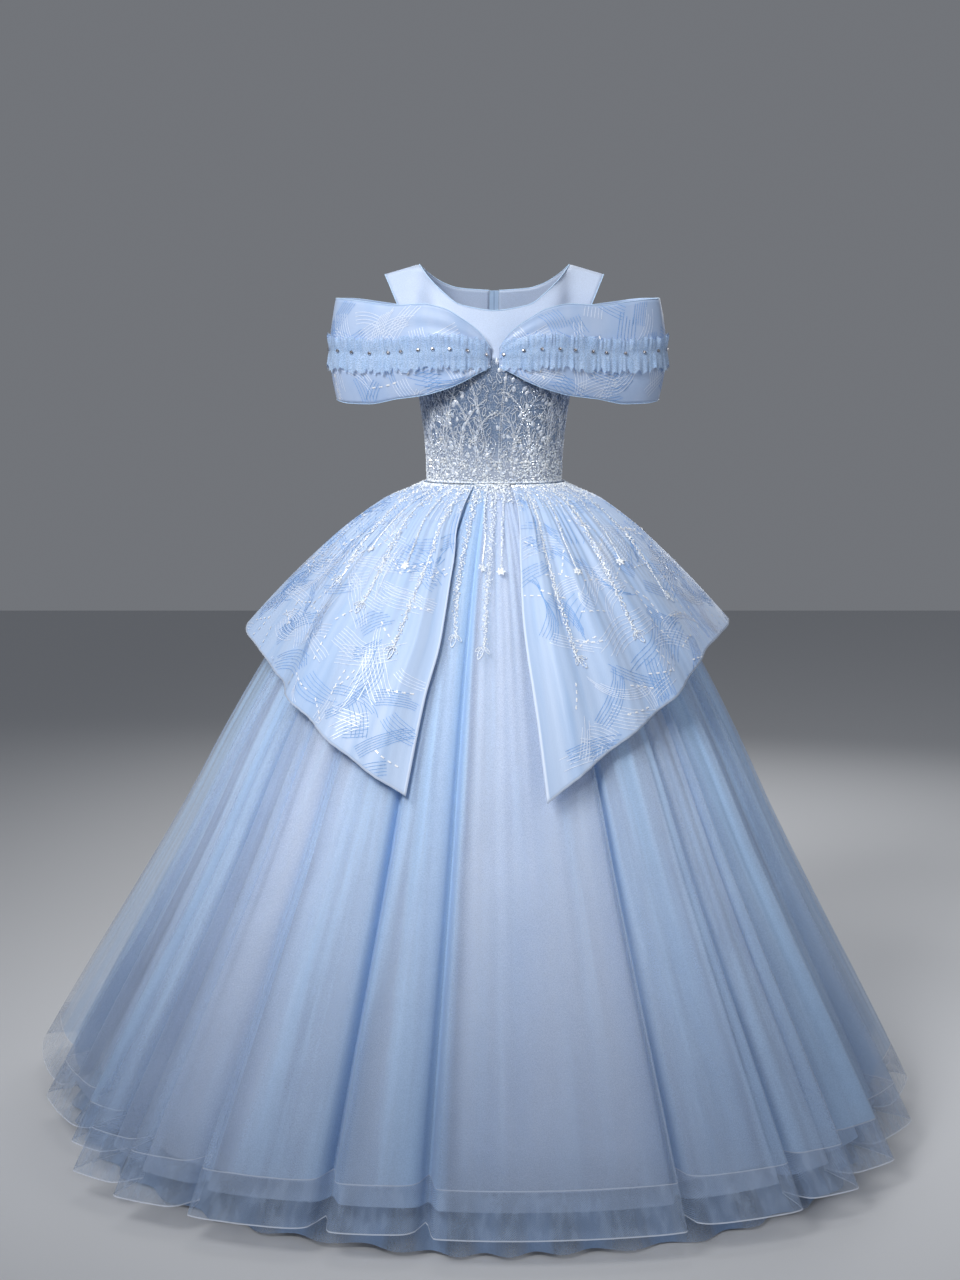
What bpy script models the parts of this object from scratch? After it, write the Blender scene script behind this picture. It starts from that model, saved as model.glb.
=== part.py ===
# Ball gown in pale blue: a fitted bodice, a plain sheer yoke, two gathered bands worn off the
# shoulder, an overskirt of four pointed petals, and a floor-length skirt of folded tulle.
# Metres. The origin is the middle of the waist seam, the front faces -Y and +Z is up.

from collections import namedtuple
from math import cos, pi, radians, sin

import bmesh
import bpy
import numpy as np
from mathutils import Matrix

# Cloth walls and seams
SEAM = 0.0003
SATIN = 0.0015
TULLE = 0.0012
RUFFLE = 0.0010
MITRE_LIMIT = 0.55
SLOPE_STEP = 0.004

# Heights from the waist seam
YOKE_SEAM = 0.220
HEM_DROP = 1.098
BRAID_DEPTH = 0.066
PETTICOAT_DROP = 1.145

# Figure that the bodice is cut for, one ring at each height
TorsoRing = namedtuple("TorsoRing", "height half_width front back")
TORSO = (
    TorsoRing(0.000, 0.122, 0.098, 0.084),
    TorsoRing(0.050, 0.124, 0.101, 0.087),
    TorsoRing(0.100, 0.129, 0.109, 0.091),
    TorsoRing(0.150, 0.136, 0.118, 0.096),
    TorsoRing(0.190, 0.143, 0.124, 0.099),
    TorsoRing(0.220, 0.147, 0.124, 0.101),
)
SQUARENESS = 2.4
BODICE_HEIGHTS = (0.0, 0.055, 0.115, 0.175, YOKE_SEAM)
PRINCESS_SEAM = 42.0
SIDE_SEAM = 104.0
ZIP_EDGE = 178.0
BODICE_STEPS = (7, 6, 10, 6, 7)

# Yoke edges on the wearer's left; each share runs 0 to 1 along its edge
EdgePoint = namedtuple("EdgePoint", "share x y z")
FRONT_NECKLINE = (
    EdgePoint(0.00, 0.000, -0.092, 0.3035),
    EdgePoint(0.28, 0.063, -0.083, 0.3170),
    EdgePoint(0.45, 0.090, -0.070, 0.3370),
    EdgePoint(0.62, 0.117, -0.045, 0.3640),
    EdgePoint(0.78, 0.136, 0.000, 0.3900),
)
BACK_NECKLINE = (
    EdgePoint(0.00, 0.009, 0.076, 0.3450),
    EdgePoint(0.28, 0.063, 0.070, 0.3490),
    EdgePoint(0.45, 0.090, 0.060, 0.3570),
    EdgePoint(0.62, 0.117, 0.036, 0.3730),
    EdgePoint(0.78, 0.136, 0.000, 0.3900),
)
ARMHOLE = (
    EdgePoint(0.00, 0.1470, 0.000, 0.220),
    EdgePoint(0.20, 0.1495, 0.029, 0.240),
    EdgePoint(0.45, 0.1580, 0.045, 0.278),
    EdgePoint(0.72, 0.1770, 0.037, 0.324),
    EdgePoint(1.00, 0.1980, 0.000, 0.372),
)
YOKE_ROWS = 6
YOKE_SHARES = (0.0, 0.14, 0.28, 0.37, 0.45, 0.54, 0.62, 0.70, 0.78, 0.89, 1.0)

# Band around one upper arm, from centre front, round the arm, to centre back
BandPoint = namedtuple("BandPoint", "share x y top bottom")
BAND = (
    BandPoint(0.00, 0.0080, -0.1238, 0.240, 0.207),
    BandPoint(0.03, 0.0300, -0.1300, 0.270, 0.196),
    BandPoint(0.08, 0.0600, -0.1305, 0.292, 0.180),
    BandPoint(0.13, 0.0900, -0.1270, 0.309, 0.168),
    BandPoint(0.20, 0.1300, -0.1160, 0.317, 0.157),
    BandPoint(0.28, 0.1800, -0.0990, 0.315, 0.150),
    BandPoint(0.36, 0.2300, -0.0790, 0.321, 0.141),
    BandPoint(0.43, 0.2700, -0.0560, 0.326, 0.142),
    BandPoint(0.48, 0.2900, -0.0300, 0.328, 0.146),
    BandPoint(0.53, 0.2940, 0.0000, 0.329, 0.148),
    BandPoint(0.58, 0.2900, 0.0300, 0.330, 0.150),
    BandPoint(0.64, 0.2660, 0.0560, 0.330, 0.152),
    BandPoint(0.72, 0.2200, 0.0780, 0.325, 0.155),
    BandPoint(0.80, 0.1700, 0.0940, 0.318, 0.160),
    BandPoint(0.88, 0.1200, 0.1040, 0.309, 0.170),
    BandPoint(0.94, 0.0700, 0.1070, 0.292, 0.184),
    BandPoint(0.98, 0.0300, 0.1065, 0.266, 0.199),
    BandPoint(1.00, 0.0140, 0.1045, 0.240, 0.207),
)
BAND_COLUMNS = 32
BAND_ROWS = 6
BAND_CROWN = 0.011
BAND_PLEAT = 0.0035
BAND_PLEATS = 2
BAND_GATHER_REACH = 0.22
BAND_FULL_WIDTH = 0.18
BAND_RUN_STEP = 0.01
BAND_REACH = {"L": -0.976, "R": 1.020}

# Ruffle of two rows of gathers, sewn along the middle of each band
BEAD_LINE = 0.50
FRILL_WAVES = 44
FRILL_UP = 0.024
FRILL_DOWN = 0.033
FRILL_WAVE = 0.0050
FRILL_LIFT = 0.0026
FRILL_END = 0.3
FRILL_UP_SHARE = 0.40
FRILL_DOWN_SHARE = 0.44
FRILL_FULL_WIDTH = 0.10

# Folds of the outer skirt, at the hem: the ends of each crest in degrees from centre front,
# the radius at each end, and the end that is creased sharp (-1 left, 1 right, 0 both)
Fold = namedtuple("Fold", "left right left_radius right_radius crease")
FOLDS = (
    Fold(-176.0, -160.0, 0.815, 0.825, 1),
    Fold(-155.0, -142.0, 0.845, 0.825, -1),
    Fold(-138.0, -123.0, 0.850, 0.830, -1),
    Fold(-119.0, -104.0, 0.855, 0.835, -1),
    Fold(-98.0, -81.0, 0.890, 0.830, -1),
    Fold(-76.0, -64.0, 0.838, 0.822, -1),
    Fold(-59.5, -54.5, 0.842, 0.826, -1),
    Fold(-51.6, -45.8, 0.892, 0.876, -1),
    Fold(-43.0, -36.5, 0.900, 0.878, -1),
    Fold(-33.4, -22.0, 0.880, 0.850, -1),
    Fold(-18.0, -10.0, 0.838, 0.824, -1),
    Fold(-6.6, 20.0, 0.828, 0.848, 0),
    Fold(23.5, 34.0, 0.842, 0.862, 1),
    Fold(37.0, 43.0, 0.844, 0.860, 1),
    Fold(46.0, 52.5, 0.824, 0.840, 1),
    Fold(56.0, 65.5, 0.790, 0.804, 1),
    Fold(70.0, 82.0, 0.760, 0.776, 1),
    Fold(87.0, 101.0, 0.755, 0.772, 1),
    Fold(106.0, 119.0, 0.765, 0.785, 1),
    Fold(124.0, 138.0, 0.785, 0.802, 1),
    Fold(143.0, 155.0, 0.800, 0.820, 1),
    Fold(160.0, 176.0, 0.825, 0.810, -1),
)
VALLEY_DEPTH = 0.055

# Section of a fold: how far each point sinks below the crest, by its share of the way across
CREASED_FOLD = ((0.0, 0.0), (0.33, 0.0), (0.67, 0.0), (1.0, 0.002), (1.16, 0.026))
ROUND_FOLD = ((0.0, 0.0), (0.25, 0.004), (0.5, 0.006), (0.75, 0.004), (1.0, 0.0))
GORES = {
    "skirt_back_L": (0, 4),
    "skirt_side_L": (4, 10),
    "skirt_front": (10, 12),
    "skirt_side_R": (12, 18),
    "skirt_back_R": (18, 22),
}

# Swell of every skirt layer: the share of the way from waist radius to hem radius
Swell = namedtuple("Swell", "drop share")
SWELL = (
    Swell(0.000, 0.000),
    Swell(0.020, 0.040),
    Swell(0.050, 0.095),
    Swell(0.100, 0.170),
    Swell(0.160, 0.243),
    Swell(0.240, 0.325),
    Swell(0.340, 0.413),
    Swell(0.460, 0.507),
    Swell(0.600, 0.608),
    Swell(0.760, 0.733),
    Swell(0.920, 0.862),
    Swell(1.032, 0.950),
    Swell(1.098, 1.000),
    Swell(1.150, 1.036),
)
SKIRT_DROPS = (0.0, 0.035, 0.110, 0.250, 0.460, 0.740, HEM_DROP - BRAID_DEPTH, HEM_DROP)

# Underskirt of satin and petticoat flounce of net
UNDERSKIRT_INSET = 0.013
UNDERSKIRT_COLUMNS = 48
UNDERSKIRT_WAVES = 12
UNDERSKIRT_WAVE = 0.004
UNDERSKIRT_DROPS = (0.0, 0.035, 0.110, 0.250, 0.740, 1.065)
FLOUNCE_SEAM_DROP = 0.840
FLOUNCE_WAVES = 48
FLOUNCE_WAVE = 0.010
FLOUNCE_REACH = 0.785
FlounceRow = namedtuple("FlounceRow", "drop inset wave")
FLOUNCE = (
    FlounceRow(1.000, 0.040, 0.3),
    FlounceRow(1.080, 0.040, 0.5),
    FlounceRow(PETTICOAT_DROP, 0.008, 1.0),
)

# Overskirt petals: drop of the hem by its turn from centre front or back, and turn of the
# inner edge by the share of the way down it
PetalHem = namedtuple("PetalHem", "turn drop")
PETAL_HEM = {
    "L": (
        PetalHem(17.2, 0.488),
        PetalHem(24.0, 0.456),
        PetalHem(32.0, 0.420),
        PetalHem(40.5, 0.380),
        PetalHem(64.0, 0.312),
        PetalHem(90.0, 0.266),
    ),
    "R": (
        PetalHem(9.5, 0.496),
        PetalHem(15.5, 0.460),
        PetalHem(22.5, 0.424),
        PetalHem(38.0, 0.360),
        PetalHem(64.5, 0.280),
        PetalHem(90.0, 0.258),
    ),
}
PetalEdge = namedtuple("PetalEdge", "share turn")
FRONT_PETAL_EDGE = {
    "L": (
        PetalEdge(0.00, 20.0),
        PetalEdge(0.12, 19.0),
        PetalEdge(0.25, 16.0),
        PetalEdge(0.50, 15.0),
        PetalEdge(0.70, 16.5),
        PetalEdge(1.00, 17.2),
    ),
    "R": (
        PetalEdge(0.00, 16.0),
        PetalEdge(0.07, 14.0),
        PetalEdge(0.25, 9.5),
        PetalEdge(0.45, 8.0),
        PetalEdge(0.75, 9.0),
        PetalEdge(1.00, 9.5),
    ),
}
BACK_PETAL_EDGE = (PetalEdge(0.0, 9.0), PetalEdge(0.5, 10.0), PetalEdge(1.0, 14.0))
PETAL_CORNER = {"L": 0.456, "R": 0.434}
PETAL_TOP_DROP = 0.004
PETAL_LIFT_FRONT = 0.006
PETAL_LIFT_WAIST = 0.018
PETAL_FLUTE = 0.010
PETAL_SEAM_RISE = 0.035
PETAL_DROP_LIMIT = 1.15
PETAL_SIDE_POWER = 1.6
PETAL_ROW_POWER = 1.25
FRONT_PETAL_GRID = (7, 24, 6)
BACK_PETAL_GRID = (6, 16, 4)

# Concealed zip at centre back, in the slider's own frame: X across, Y out, Z up
SLIDER_HEIGHT = 0.322
SLIDER_WIDTH = 0.0070
SLIDER_THICKNESS = 0.0026
SLIDER_LENGTH = 0.0110
BRIDGE_WIDTH = 0.0020
BRIDGE_THICKNESS = 0.0008
BRIDGE_CLEARANCE = 0.0022
BRIDGE_TOP = 0.0040
BRIDGE_FOOT = -0.0035
PIVOT_UP = 0.0015
PULL_WIDTH = 0.0052
PULL_THICKNESS = 0.0012
PULL_LENGTH = 0.0210
EYE_WIDTH = 0.0028
EYE_LENGTH = 0.0056

FINISHES = {
    "satin": ((0.42, 0.60, 0.80, 1.0), 0.45, 0.0),
    "lace": ((0.36, 0.50, 0.66, 1.0), 0.50, 0.0),
    "sheer": ((0.56, 0.76, 0.93, 1.0), 0.60, 0.0),
    "glitter_tulle": ((0.52, 0.72, 0.93, 1.0), 0.40, 0.0),
    "tulle": ((0.62, 0.76, 0.93, 1.0), 0.65, 0.0),
    "horsehair": ((0.74, 0.83, 0.94, 1.0), 0.35, 0.0),
    "net": ((0.70, 0.82, 0.94, 1.0), 0.70, 0.0),
    "zip_tape": ((0.50, 0.68, 0.88, 1.0), 0.70, 0.0),
    "zip_metal": ((0.72, 0.78, 0.84, 1.0), 0.25, 0.9),
}


def clear_scene():
    for thing in list(bpy.data.objects):
        bpy.data.objects.remove(thing, do_unlink=True)


def finish(name):
    """The Principled material of one cloth or metal."""
    if name in bpy.data.materials:
        return bpy.data.materials[name]
    colour, roughness, metallic = FINISHES[name]
    material = bpy.data.materials.new(name)
    material.use_nodes = True
    shader = material.node_tree.nodes["Principled BSDF"]
    shader.inputs["Base Color"].default_value = colour
    shader.inputs["Roughness"].default_value = roughness
    shader.inputs["Metallic"].default_value = metallic
    material.diffuse_color = colour
    return material


def along(table, column, at):
    """A column of a table read at a value of its first column, on a smooth curve through the rows."""
    keys = np.array([row[0] for row in table], float)
    values = np.array([getattr(row, column) for row in table], float)
    slopes = np.gradient(values, keys)
    at = float(np.clip(at, keys[0], keys[-1]))
    i = int(np.clip(np.searchsorted(keys, at) - 1, 0, len(keys) - 2))
    span = keys[i + 1] - keys[i]
    t = (at - keys[i]) / span
    start = (1 + 2 * t) * (1 - t) ** 2 * values[i] + t * (1 - t) ** 2 * span * slopes[i]
    end = t * t * (3 - 2 * t) * values[i + 1] + t * t * (t - 1) * span * slopes[i + 1]
    return start + end


def edge_point(table, share):
    return np.array([along(table, axis, share) for axis in "xyz"])


def squared(value):
    return np.sign(value) * abs(value) ** (2 / SQUARENESS)


def torso(turn, height):
    """Point of the fitted body, turned in degrees from centre front towards the wearer's left."""
    across = squared(sin(radians(turn)))
    ahead = squared(cos(radians(turn)))
    depth = along(TORSO, "front" if ahead > 0 else "back", height)
    return np.array([along(TORSO, "half_width", height) * across, -depth * ahead, height])


def polar(turn, radius, height):
    return np.array([radius * sin(radians(turn)), -radius * cos(radians(turn)), height])


def waist_radius(turn):
    """Radius of the waist seam in the direction of a turn."""
    half_width = TORSO[0].half_width
    depth = TORSO[0].front if cos(radians(turn)) > 0 else TORSO[0].back
    across = abs(sin(radians(turn)) / half_width) ** SQUARENESS
    ahead = abs(cos(radians(turn)) / depth) ** SQUARENESS
    return (across + ahead) ** (-1 / SQUARENESS)


def normals_of(grid, closed):
    """Outward normal at each point, stretched so that a wall keeps its thickness round a fold."""
    rows, columns = grid.shape[:2]
    last = columns if closed else columns - 1
    faces = np.zeros((rows - 1, last, 3))
    for i in range(rows - 1):
        for j in range(last):
            k = (j + 1) % columns
            face = np.cross(grid[i + 1, k] - grid[i, j], grid[i + 1, j] - grid[i, k])
            faces[i, j] = face / np.linalg.norm(face)
    normals = np.zeros_like(grid)
    for i in range(rows):
        for j in range(columns):
            beside = [(j - 1) % columns, j] if closed else [c for c in (j - 1, j) if 0 <= c < last]
            near = [faces[r, c] for r in (i - 1, i) if 0 <= r < rows - 1 for c in beside]
            mean = np.sum(near, axis=0)
            mean /= np.linalg.norm(mean)
            least = min(float(mean @ face) for face in near)
            normals[i, j] = mean / max(least, MITRE_LIMIT)
    outward = np.sum(normals * grid * np.array([1.0, 1.0, 0.0]))
    return normals if outward > 0 else -normals


def level(normals):
    """Normals of a seam row turned level, so that the pieces above and below meet squarely."""
    flat = normals * np.array([1.0, 1.0, 0.0])
    return flat / np.linalg.norm(flat, axis=-1, keepdims=True)


def lining_of(grid, thickness, closed=False, level_rows=()):
    normals = normals_of(grid, closed)
    for row in level_rows:
        normals[row] = level(normals[row])
    return grid - thickness * normals


def drawn_in(grid, sides):
    """A grid with the named sides drawn in by half a seam's gap."""
    grid = grid.copy()
    for side in sides:
        view = {"left": grid.swapaxes(0, 1), "right": grid.swapaxes(0, 1)[::-1],
                "top": grid, "bottom": grid[::-1]}[side]
        step = view[1] - view[0]
        view[0] += step / np.linalg.norm(step, axis=-1, keepdims=True) * SEAM / 2
    return grid


def cloth(name, outer, inner, material, closed=False):
    """A wall between two grids of points, closed round its free edges."""
    rows, columns = outer.shape[:2]
    mesh = bmesh.new()
    skins = [[[mesh.verts.new(point) for point in row] for row in grid] for grid in (outer, inner)]
    last = columns if closed else columns - 1
    for i in range(rows - 1):
        for j in range(last):
            k = (j + 1) % columns
            for skin in skins:
                mesh.faces.new((skin[i][j], skin[i][k], skin[i + 1][k], skin[i + 1][j]))
    rims = [[(s[i][j], s[i][(j + 1) % columns]) for s in skins] for i in (0, -1) for j in range(last)]
    if not closed:
        rims += [[(s[i][j], s[i + 1][j]) for s in skins] for j in (0, -1) for i in range(rows - 1)]
    for (a, b), (c, d) in rims:
        mesh.faces.new((a, b, d, c))
    bmesh.ops.recalc_face_normals(mesh, faces=mesh.faces)
    data = bpy.data.meshes.new(name)
    mesh.to_mesh(data)
    mesh.free()
    data.shade_smooth()
    data.set_sharp_from_angle(angle=radians(50))
    data.materials.append(finish(material))
    piece = bpy.data.objects.new(name, data)
    bpy.context.scene.collection.objects.link(piece)
    return piece


def bodice():
    """Front, two sides and two backs, joined at princess and side seams; the backs stop at the zip."""
    seams = (-ZIP_EDGE, -SIDE_SEAM, -PRINCESS_SEAM, PRINCESS_SEAM, SIDE_SEAM, ZIP_EDGE)
    names = ("bodice_back_L", "bodice_side_L", "bodice_front", "bodice_side_R", "bodice_back_R")
    turns = [seams[0]]
    ends = [0]
    for seam, steps in zip(seams[1:], BODICE_STEPS):
        turns += list(np.linspace(turns[-1], seam, steps + 1)[1:])
        ends.append(len(turns) - 1)
    outer = np.array([[torso(turn, height) for turn in turns] for height in BODICE_HEIGHTS])
    inner = lining_of(outer, SATIN, level_rows=(0, -1))
    sides = ("left", "right", "top", "bottom")
    for name, first, last in zip(names, ends, ends[1:]):
        skins = [drawn_in(grid[:, first:last + 1], sides) for grid in (outer, inner)]
        cloth(name, *skins, "lace")


def yoke_top(neckline, share):
    """Neckline up to the neck point, then the straight shoulder seam out to the armhole."""
    if share <= neckline[-1].share:
        return edge_point(neckline, share)
    out = (share - neckline[-1].share) / (1 - neckline[-1].share)
    return edge_point(neckline, neckline[-1].share) * (1 - out) + edge_point(ARMHOLE, 1.0) * out


def yoke_grid(neckline, shares, turn_of, facing):
    """Sheet between the bodice seam, the armholes and the neckline."""
    rows = []
    for up in np.linspace(0, 1, YOKE_ROWS + 1):
        row = []
        for share in shares:
            side = abs(share)
            mirror = np.array([np.sign(share) if share else 1.0, 1.0, 1.0])
            low = torso(turn_of(side), YOKE_SEAM)
            high = yoke_top(neckline, side)
            arm = edge_point(ARMHOLE, up) * np.array([1.0, facing, 1.0])
            arm_low = torso(turn_of(1.0), YOKE_SEAM)
            arm_high = yoke_top(neckline, 1.0)
            straight = low + (high - low) * up
            bow = arm - (arm_low + (arm_high - arm_low) * up)
            row.append((straight + bow * side ** 2) * mirror)
        rows.append(row)
    return np.array(rows)


def yoke_wall(outer, shares):
    """Inner skin, square to the bodice seam below and to the shoulder seam above."""
    normals = normals_of(outer, False)
    normals[0] = level(normals[0])
    for column, share in enumerate(shares):
        if abs(share) >= FRONT_NECKLINE[-1].share:
            seam = normals[-1, column] * np.array([1.0, 0.0, 1.0])
            normals[-1, column] = seam / np.linalg.norm(seam)
    return outer - SATIN * normals


def yoke():
    """Sheer front and two backs, sewn to the bodice and joined on the shoulders."""
    shares = [-share for share in YOKE_SHARES[:0:-1]] + list(YOKE_SHARES)
    front = yoke_grid(FRONT_NECKLINE, shares, lambda side: 90 * side, -1)
    sides = ("top", "bottom")
    cloth("yoke_front", drawn_in(front, sides), drawn_in(yoke_wall(front, shares), sides), "sheer")
    for side, sign in (("L", -1), ("R", 1)):
        shares = [max(share, 1e-6) for share in YOKE_SHARES][::-1]
        back = yoke_grid(BACK_NECKLINE, shares, lambda s: ZIP_EDGE + (90 - ZIP_EDGE) * s, 1)
        inner = yoke_wall(back, shares)
        sides = ("top", "bottom", "right")
        outer_skin, inner_skin = drawn_in(back, sides), drawn_in(inner, sides)
        mirror = np.array([sign, 1.0, 1.0])
        cloth("yoke_back_" + side, outer_skin * mirror, inner_skin * mirror, "sheer")
    return back


def band_grid(side):
    """Outer points of one band, crowned across and pleated where it is gathered."""
    rows = []
    reach = BAND_REACH[side]
    for down in np.linspace(0, 1, BAND_ROWS + 1):
        row = []
        for share in np.linspace(0, 1, BAND_COLUMNS + 1):
            x, y = (along(BAND, axis, share) for axis in "xy")
            ahead, behind = (max(share - BAND_RUN_STEP, 0), min(share + BAND_RUN_STEP, 1))
            run = np.array([along(BAND, a, behind) - along(BAND, a, ahead) for a in "xy"])
            run /= np.linalg.norm(run)
            top, bottom = along(BAND, "top", share), along(BAND, "bottom", share)
            spread = (top - bottom) / BAND_FULL_WIDTH
            gathered = max(0.0, 1 - min(share, 1 - share) / BAND_GATHER_REACH)
            crown = BAND_CROWN * (1 - (2 * down - 1) ** 2) * min(spread, 1)
            pleat = BAND_PLEAT * gathered * spread * (1 + cos(2 * pi * BAND_PLEATS * down))
            out = crown + pleat
            x, y = x + run[1] * out, y - run[0] * out
            row.append((x * reach, y, top + (bottom - top) * down))
        rows.append(row)
    return np.array(rows)


def on_grid(grid, row, column):
    """Point of a faceted grid at a fractional row and column."""
    i = int(np.clip(row, 0, grid.shape[0] - 1.000001))
    j = int(np.clip(column, 0, grid.shape[1] - 1.000001))
    v, u = row - i, column - j
    upper = grid[i, j] * (1 - u) + grid[i, j + 1] * u
    lower = grid[i + 1, j] * (1 - u) + grid[i + 1, j + 1] * u
    return upper * (1 - v) + lower * v


def bands():
    """Two loops that lie over the seam of bodice and yoke and go round the upper arms."""
    for side in "LR":
        outer = band_grid(side)
        cloth("band_" + side, outer, lining_of(outer, SATIN), "glitter_tulle")
        frill(side, outer)


def frill(side, band):
    """Gathered ruffle on a band: sewn flat along its middle and waved at both edges."""
    normals = normals_of(band, False)
    columns = 2 * FRILL_WAVES
    rows = [[], [], []]
    for step in range(columns + 1):
        column = FRILL_END + (BAND_COLUMNS - 2 * FRILL_END) * step / columns
        height = np.linalg.norm(on_grid(band, BAND_ROWS, column) - on_grid(band, 0, column))
        up = min(FRILL_UP, FRILL_UP_SHARE * height)
        down = min(FRILL_DOWN, FRILL_DOWN_SHARE * height)
        crest = step % 2
        for row, move in enumerate((-up, 0.0, down)):
            at = (BEAD_LINE + move / height) * BAND_ROWS
            point = on_grid(band, at, column)
            normal = on_grid(normals, at, column)
            wave = FRILL_LIFT - RUFFLE + crest * FRILL_WAVE * min(1, height / FRILL_FULL_WIDTH)
            wave = 0 if row == 1 else wave
            rows[row].append(point + normal * (RUFFLE + 3 * SEAM + wave))
    outer = np.array(rows)
    cloth("frill_" + side, outer, lining_of(outer, RUFFLE), "glitter_tulle")


def fold_columns():
    """Turn and hem radius of each column of the outer skirt, with the first column of each fold."""
    turns, radii, starts = [], [], []
    for i, fold in enumerate(FOLDS):
        before = FOLDS[i - 1]
        gap_start = before.right - (360 if i == 0 else 0)
        starts.append(len(turns))
        turns.append((gap_start + fold.left) / 2)
        radii.append(min(before.right_radius, fold.left_radius) - VALLEY_DEPTH)
        profile = CREASED_FOLD if fold.crease else ROUND_FOLD
        if fold.crease == 1:
            profile = [(1 - share, sink) for share, sink in profile[::-1]]
        for share, sink in profile:
            crest = fold.left_radius + (fold.right_radius - fold.left_radius) * np.clip(share, 0, 1)
            turns.append(fold.left + (fold.right - fold.left) * share)
            radii.append(crest - sink)
    return turns, radii, starts


def skirt_radius(turn, hem_radius, drop):
    waist = waist_radius(turn)
    return waist + along(SWELL, "share", drop) * (hem_radius - waist)


def round_the_hem(turn, at_valleys):
    """Hem radius read between the folds' valleys, or between their crests."""
    turns, radii, starts = fold_columns()
    if at_valleys:
        keys, values = [turns[s] for s in starts], [radii[s] for s in starts]
    else:
        keys = [(fold.left + fold.right) / 2 for fold in FOLDS]
        values = [max(fold.left_radius, fold.right_radius) for fold in FOLDS]
    return float(np.interp(turn, keys, values, period=360))


def skirt():
    """Five gores of tulle that meet in valleys, and the horsehair braid round their hem."""
    turns, radii, starts = fold_columns()
    outer = np.array([[polar(turn, skirt_radius(turn, radius, drop), -drop)
                       for turn, radius in zip(turns, radii)] for drop in SKIRT_DROPS])
    inner = lining_of(outer, TULLE, closed=True)
    hem_rows = slice(len(SKIRT_DROPS) - 2, None)
    braid = [drawn_in(grid[hem_rows], ("top",)) for grid in (outer, inner)]
    cloth("hem_braid", *braid, "horsehair", closed=True)
    starts.append(len(turns))
    for name, (first, last) in GORES.items():
        columns = [c % len(turns) for c in range(starts[first], starts[last] + 1)]
        skins = [grid[:-1, columns] for grid in (outer, inner)]
        skins = [drawn_in(skin, ("left", "right", "bottom")) for skin in skins]
        cloth(name, *skins, "tulle")


def inside(turn, hem_radius, drop, inset):
    """Point of an inner layer, moved in from the skirt's surface along its own slope."""
    upper, lower = max(drop - SLOPE_STEP, 0), drop + SLOPE_STEP
    rise = skirt_radius(turn, hem_radius, lower) - skirt_radius(turn, hem_radius, upper)
    slope = np.array([lower - upper, rise])
    slope /= np.linalg.norm(slope)
    radius = skirt_radius(turn, hem_radius, drop) - inset * slope[0]
    return polar(turn, radius, -drop - inset * slope[1])


def underskirt():
    """Closed skirt of satin that hangs just inside the valleys of the tulle."""
    grid = []
    for drop in UNDERSKIRT_DROPS:
        row = []
        share = along(SWELL, "share", drop)
        for column in range(UNDERSKIRT_COLUMNS):
            turn = -180 + 360 * column / UNDERSKIRT_COLUMNS
            angle = 2 * pi * UNDERSKIRT_WAVES * column / UNDERSKIRT_COLUMNS
            wave = UNDERSKIRT_WAVE * share * (1 - cos(angle))
            inset = TULLE + 2 * SEAM + share * UNDERSKIRT_INSET + wave
            row.append(inside(turn, round_the_hem(turn, True), drop, inset))
        grid.append(row)
    outer = np.array(grid)
    inner = lining_of(outer, TULLE, closed=True)
    cloth("underskirt", outer, inner, "satin", closed=True)
    return inner


def petticoat(carrier):
    """Flounce of net sewn inside the underskirt, flared so that it shows below the hem."""
    columns = 2 * FLOUNCE_WAVES
    wrapped = np.concatenate([carrier, carrier[:, :1]], axis=1)
    seam_row = float(np.interp(FLOUNCE_SEAM_DROP, UNDERSKIRT_DROPS, range(len(UNDERSKIRT_DROPS))))
    seam = []
    for step in range(columns):
        turn = -180 + 360 * step / columns
        on_carrier = on_grid(wrapped, seam_row, UNDERSKIRT_COLUMNS * step / columns)
        seam.append(on_carrier - polar(turn, 2 * SEAM, 0.0))
    grid = [seam]
    for row in FLOUNCE:
        points = []
        for step in range(columns):
            turn = -180 + 360 * step / columns
            radius = skirt_radius(turn, round_the_hem(turn, True), row.drop) - row.inset
            radius = min(radius, FLOUNCE_REACH * row.drop / PETTICOAT_DROP)
            points.append(polar(turn, radius + FLOUNCE_WAVE * row.wave * (-1) ** step, -row.drop))
        grid.append(points)
    outer = np.array(grid)
    cloth("petticoat", outer, lining_of(outer, RUFFLE, closed=True), "net", closed=True)


def petal_point(side, turn, drop, sideways, flute):
    """Point of the overskirt, lifted off the crests of the skirt and most of all at the side."""
    sign = -1 if side == "L" else 1
    hem = round_the_hem(sign * turn, False)
    corner_drop = PETAL_HEM[side][-1].drop
    corner_gap = PETAL_CORNER[side] - skirt_radius(90 * sign, round_the_hem(90 * sign, False), corner_drop)
    side_lift = PETAL_LIFT_WAIST + (corner_gap - PETAL_LIFT_WAIST) * min(drop / corner_drop, PETAL_DROP_LIMIT)
    lift = PETAL_LIFT_FRONT + (side_lift - PETAL_LIFT_FRONT) * sideways
    grown = min(drop / PETAL_SEAM_RISE, 1.0)
    lift *= grown * grown * (3 - 2 * grown)
    point = inside(turn, hem, drop, -(TULLE + 2 * SEAM))
    out = np.array([sin(radians(turn)), -cos(radians(turn)), 0.0])
    point = point + out * (lift + flute * grown)
    return point * np.array([sign, 1.0, 1.0])


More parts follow.
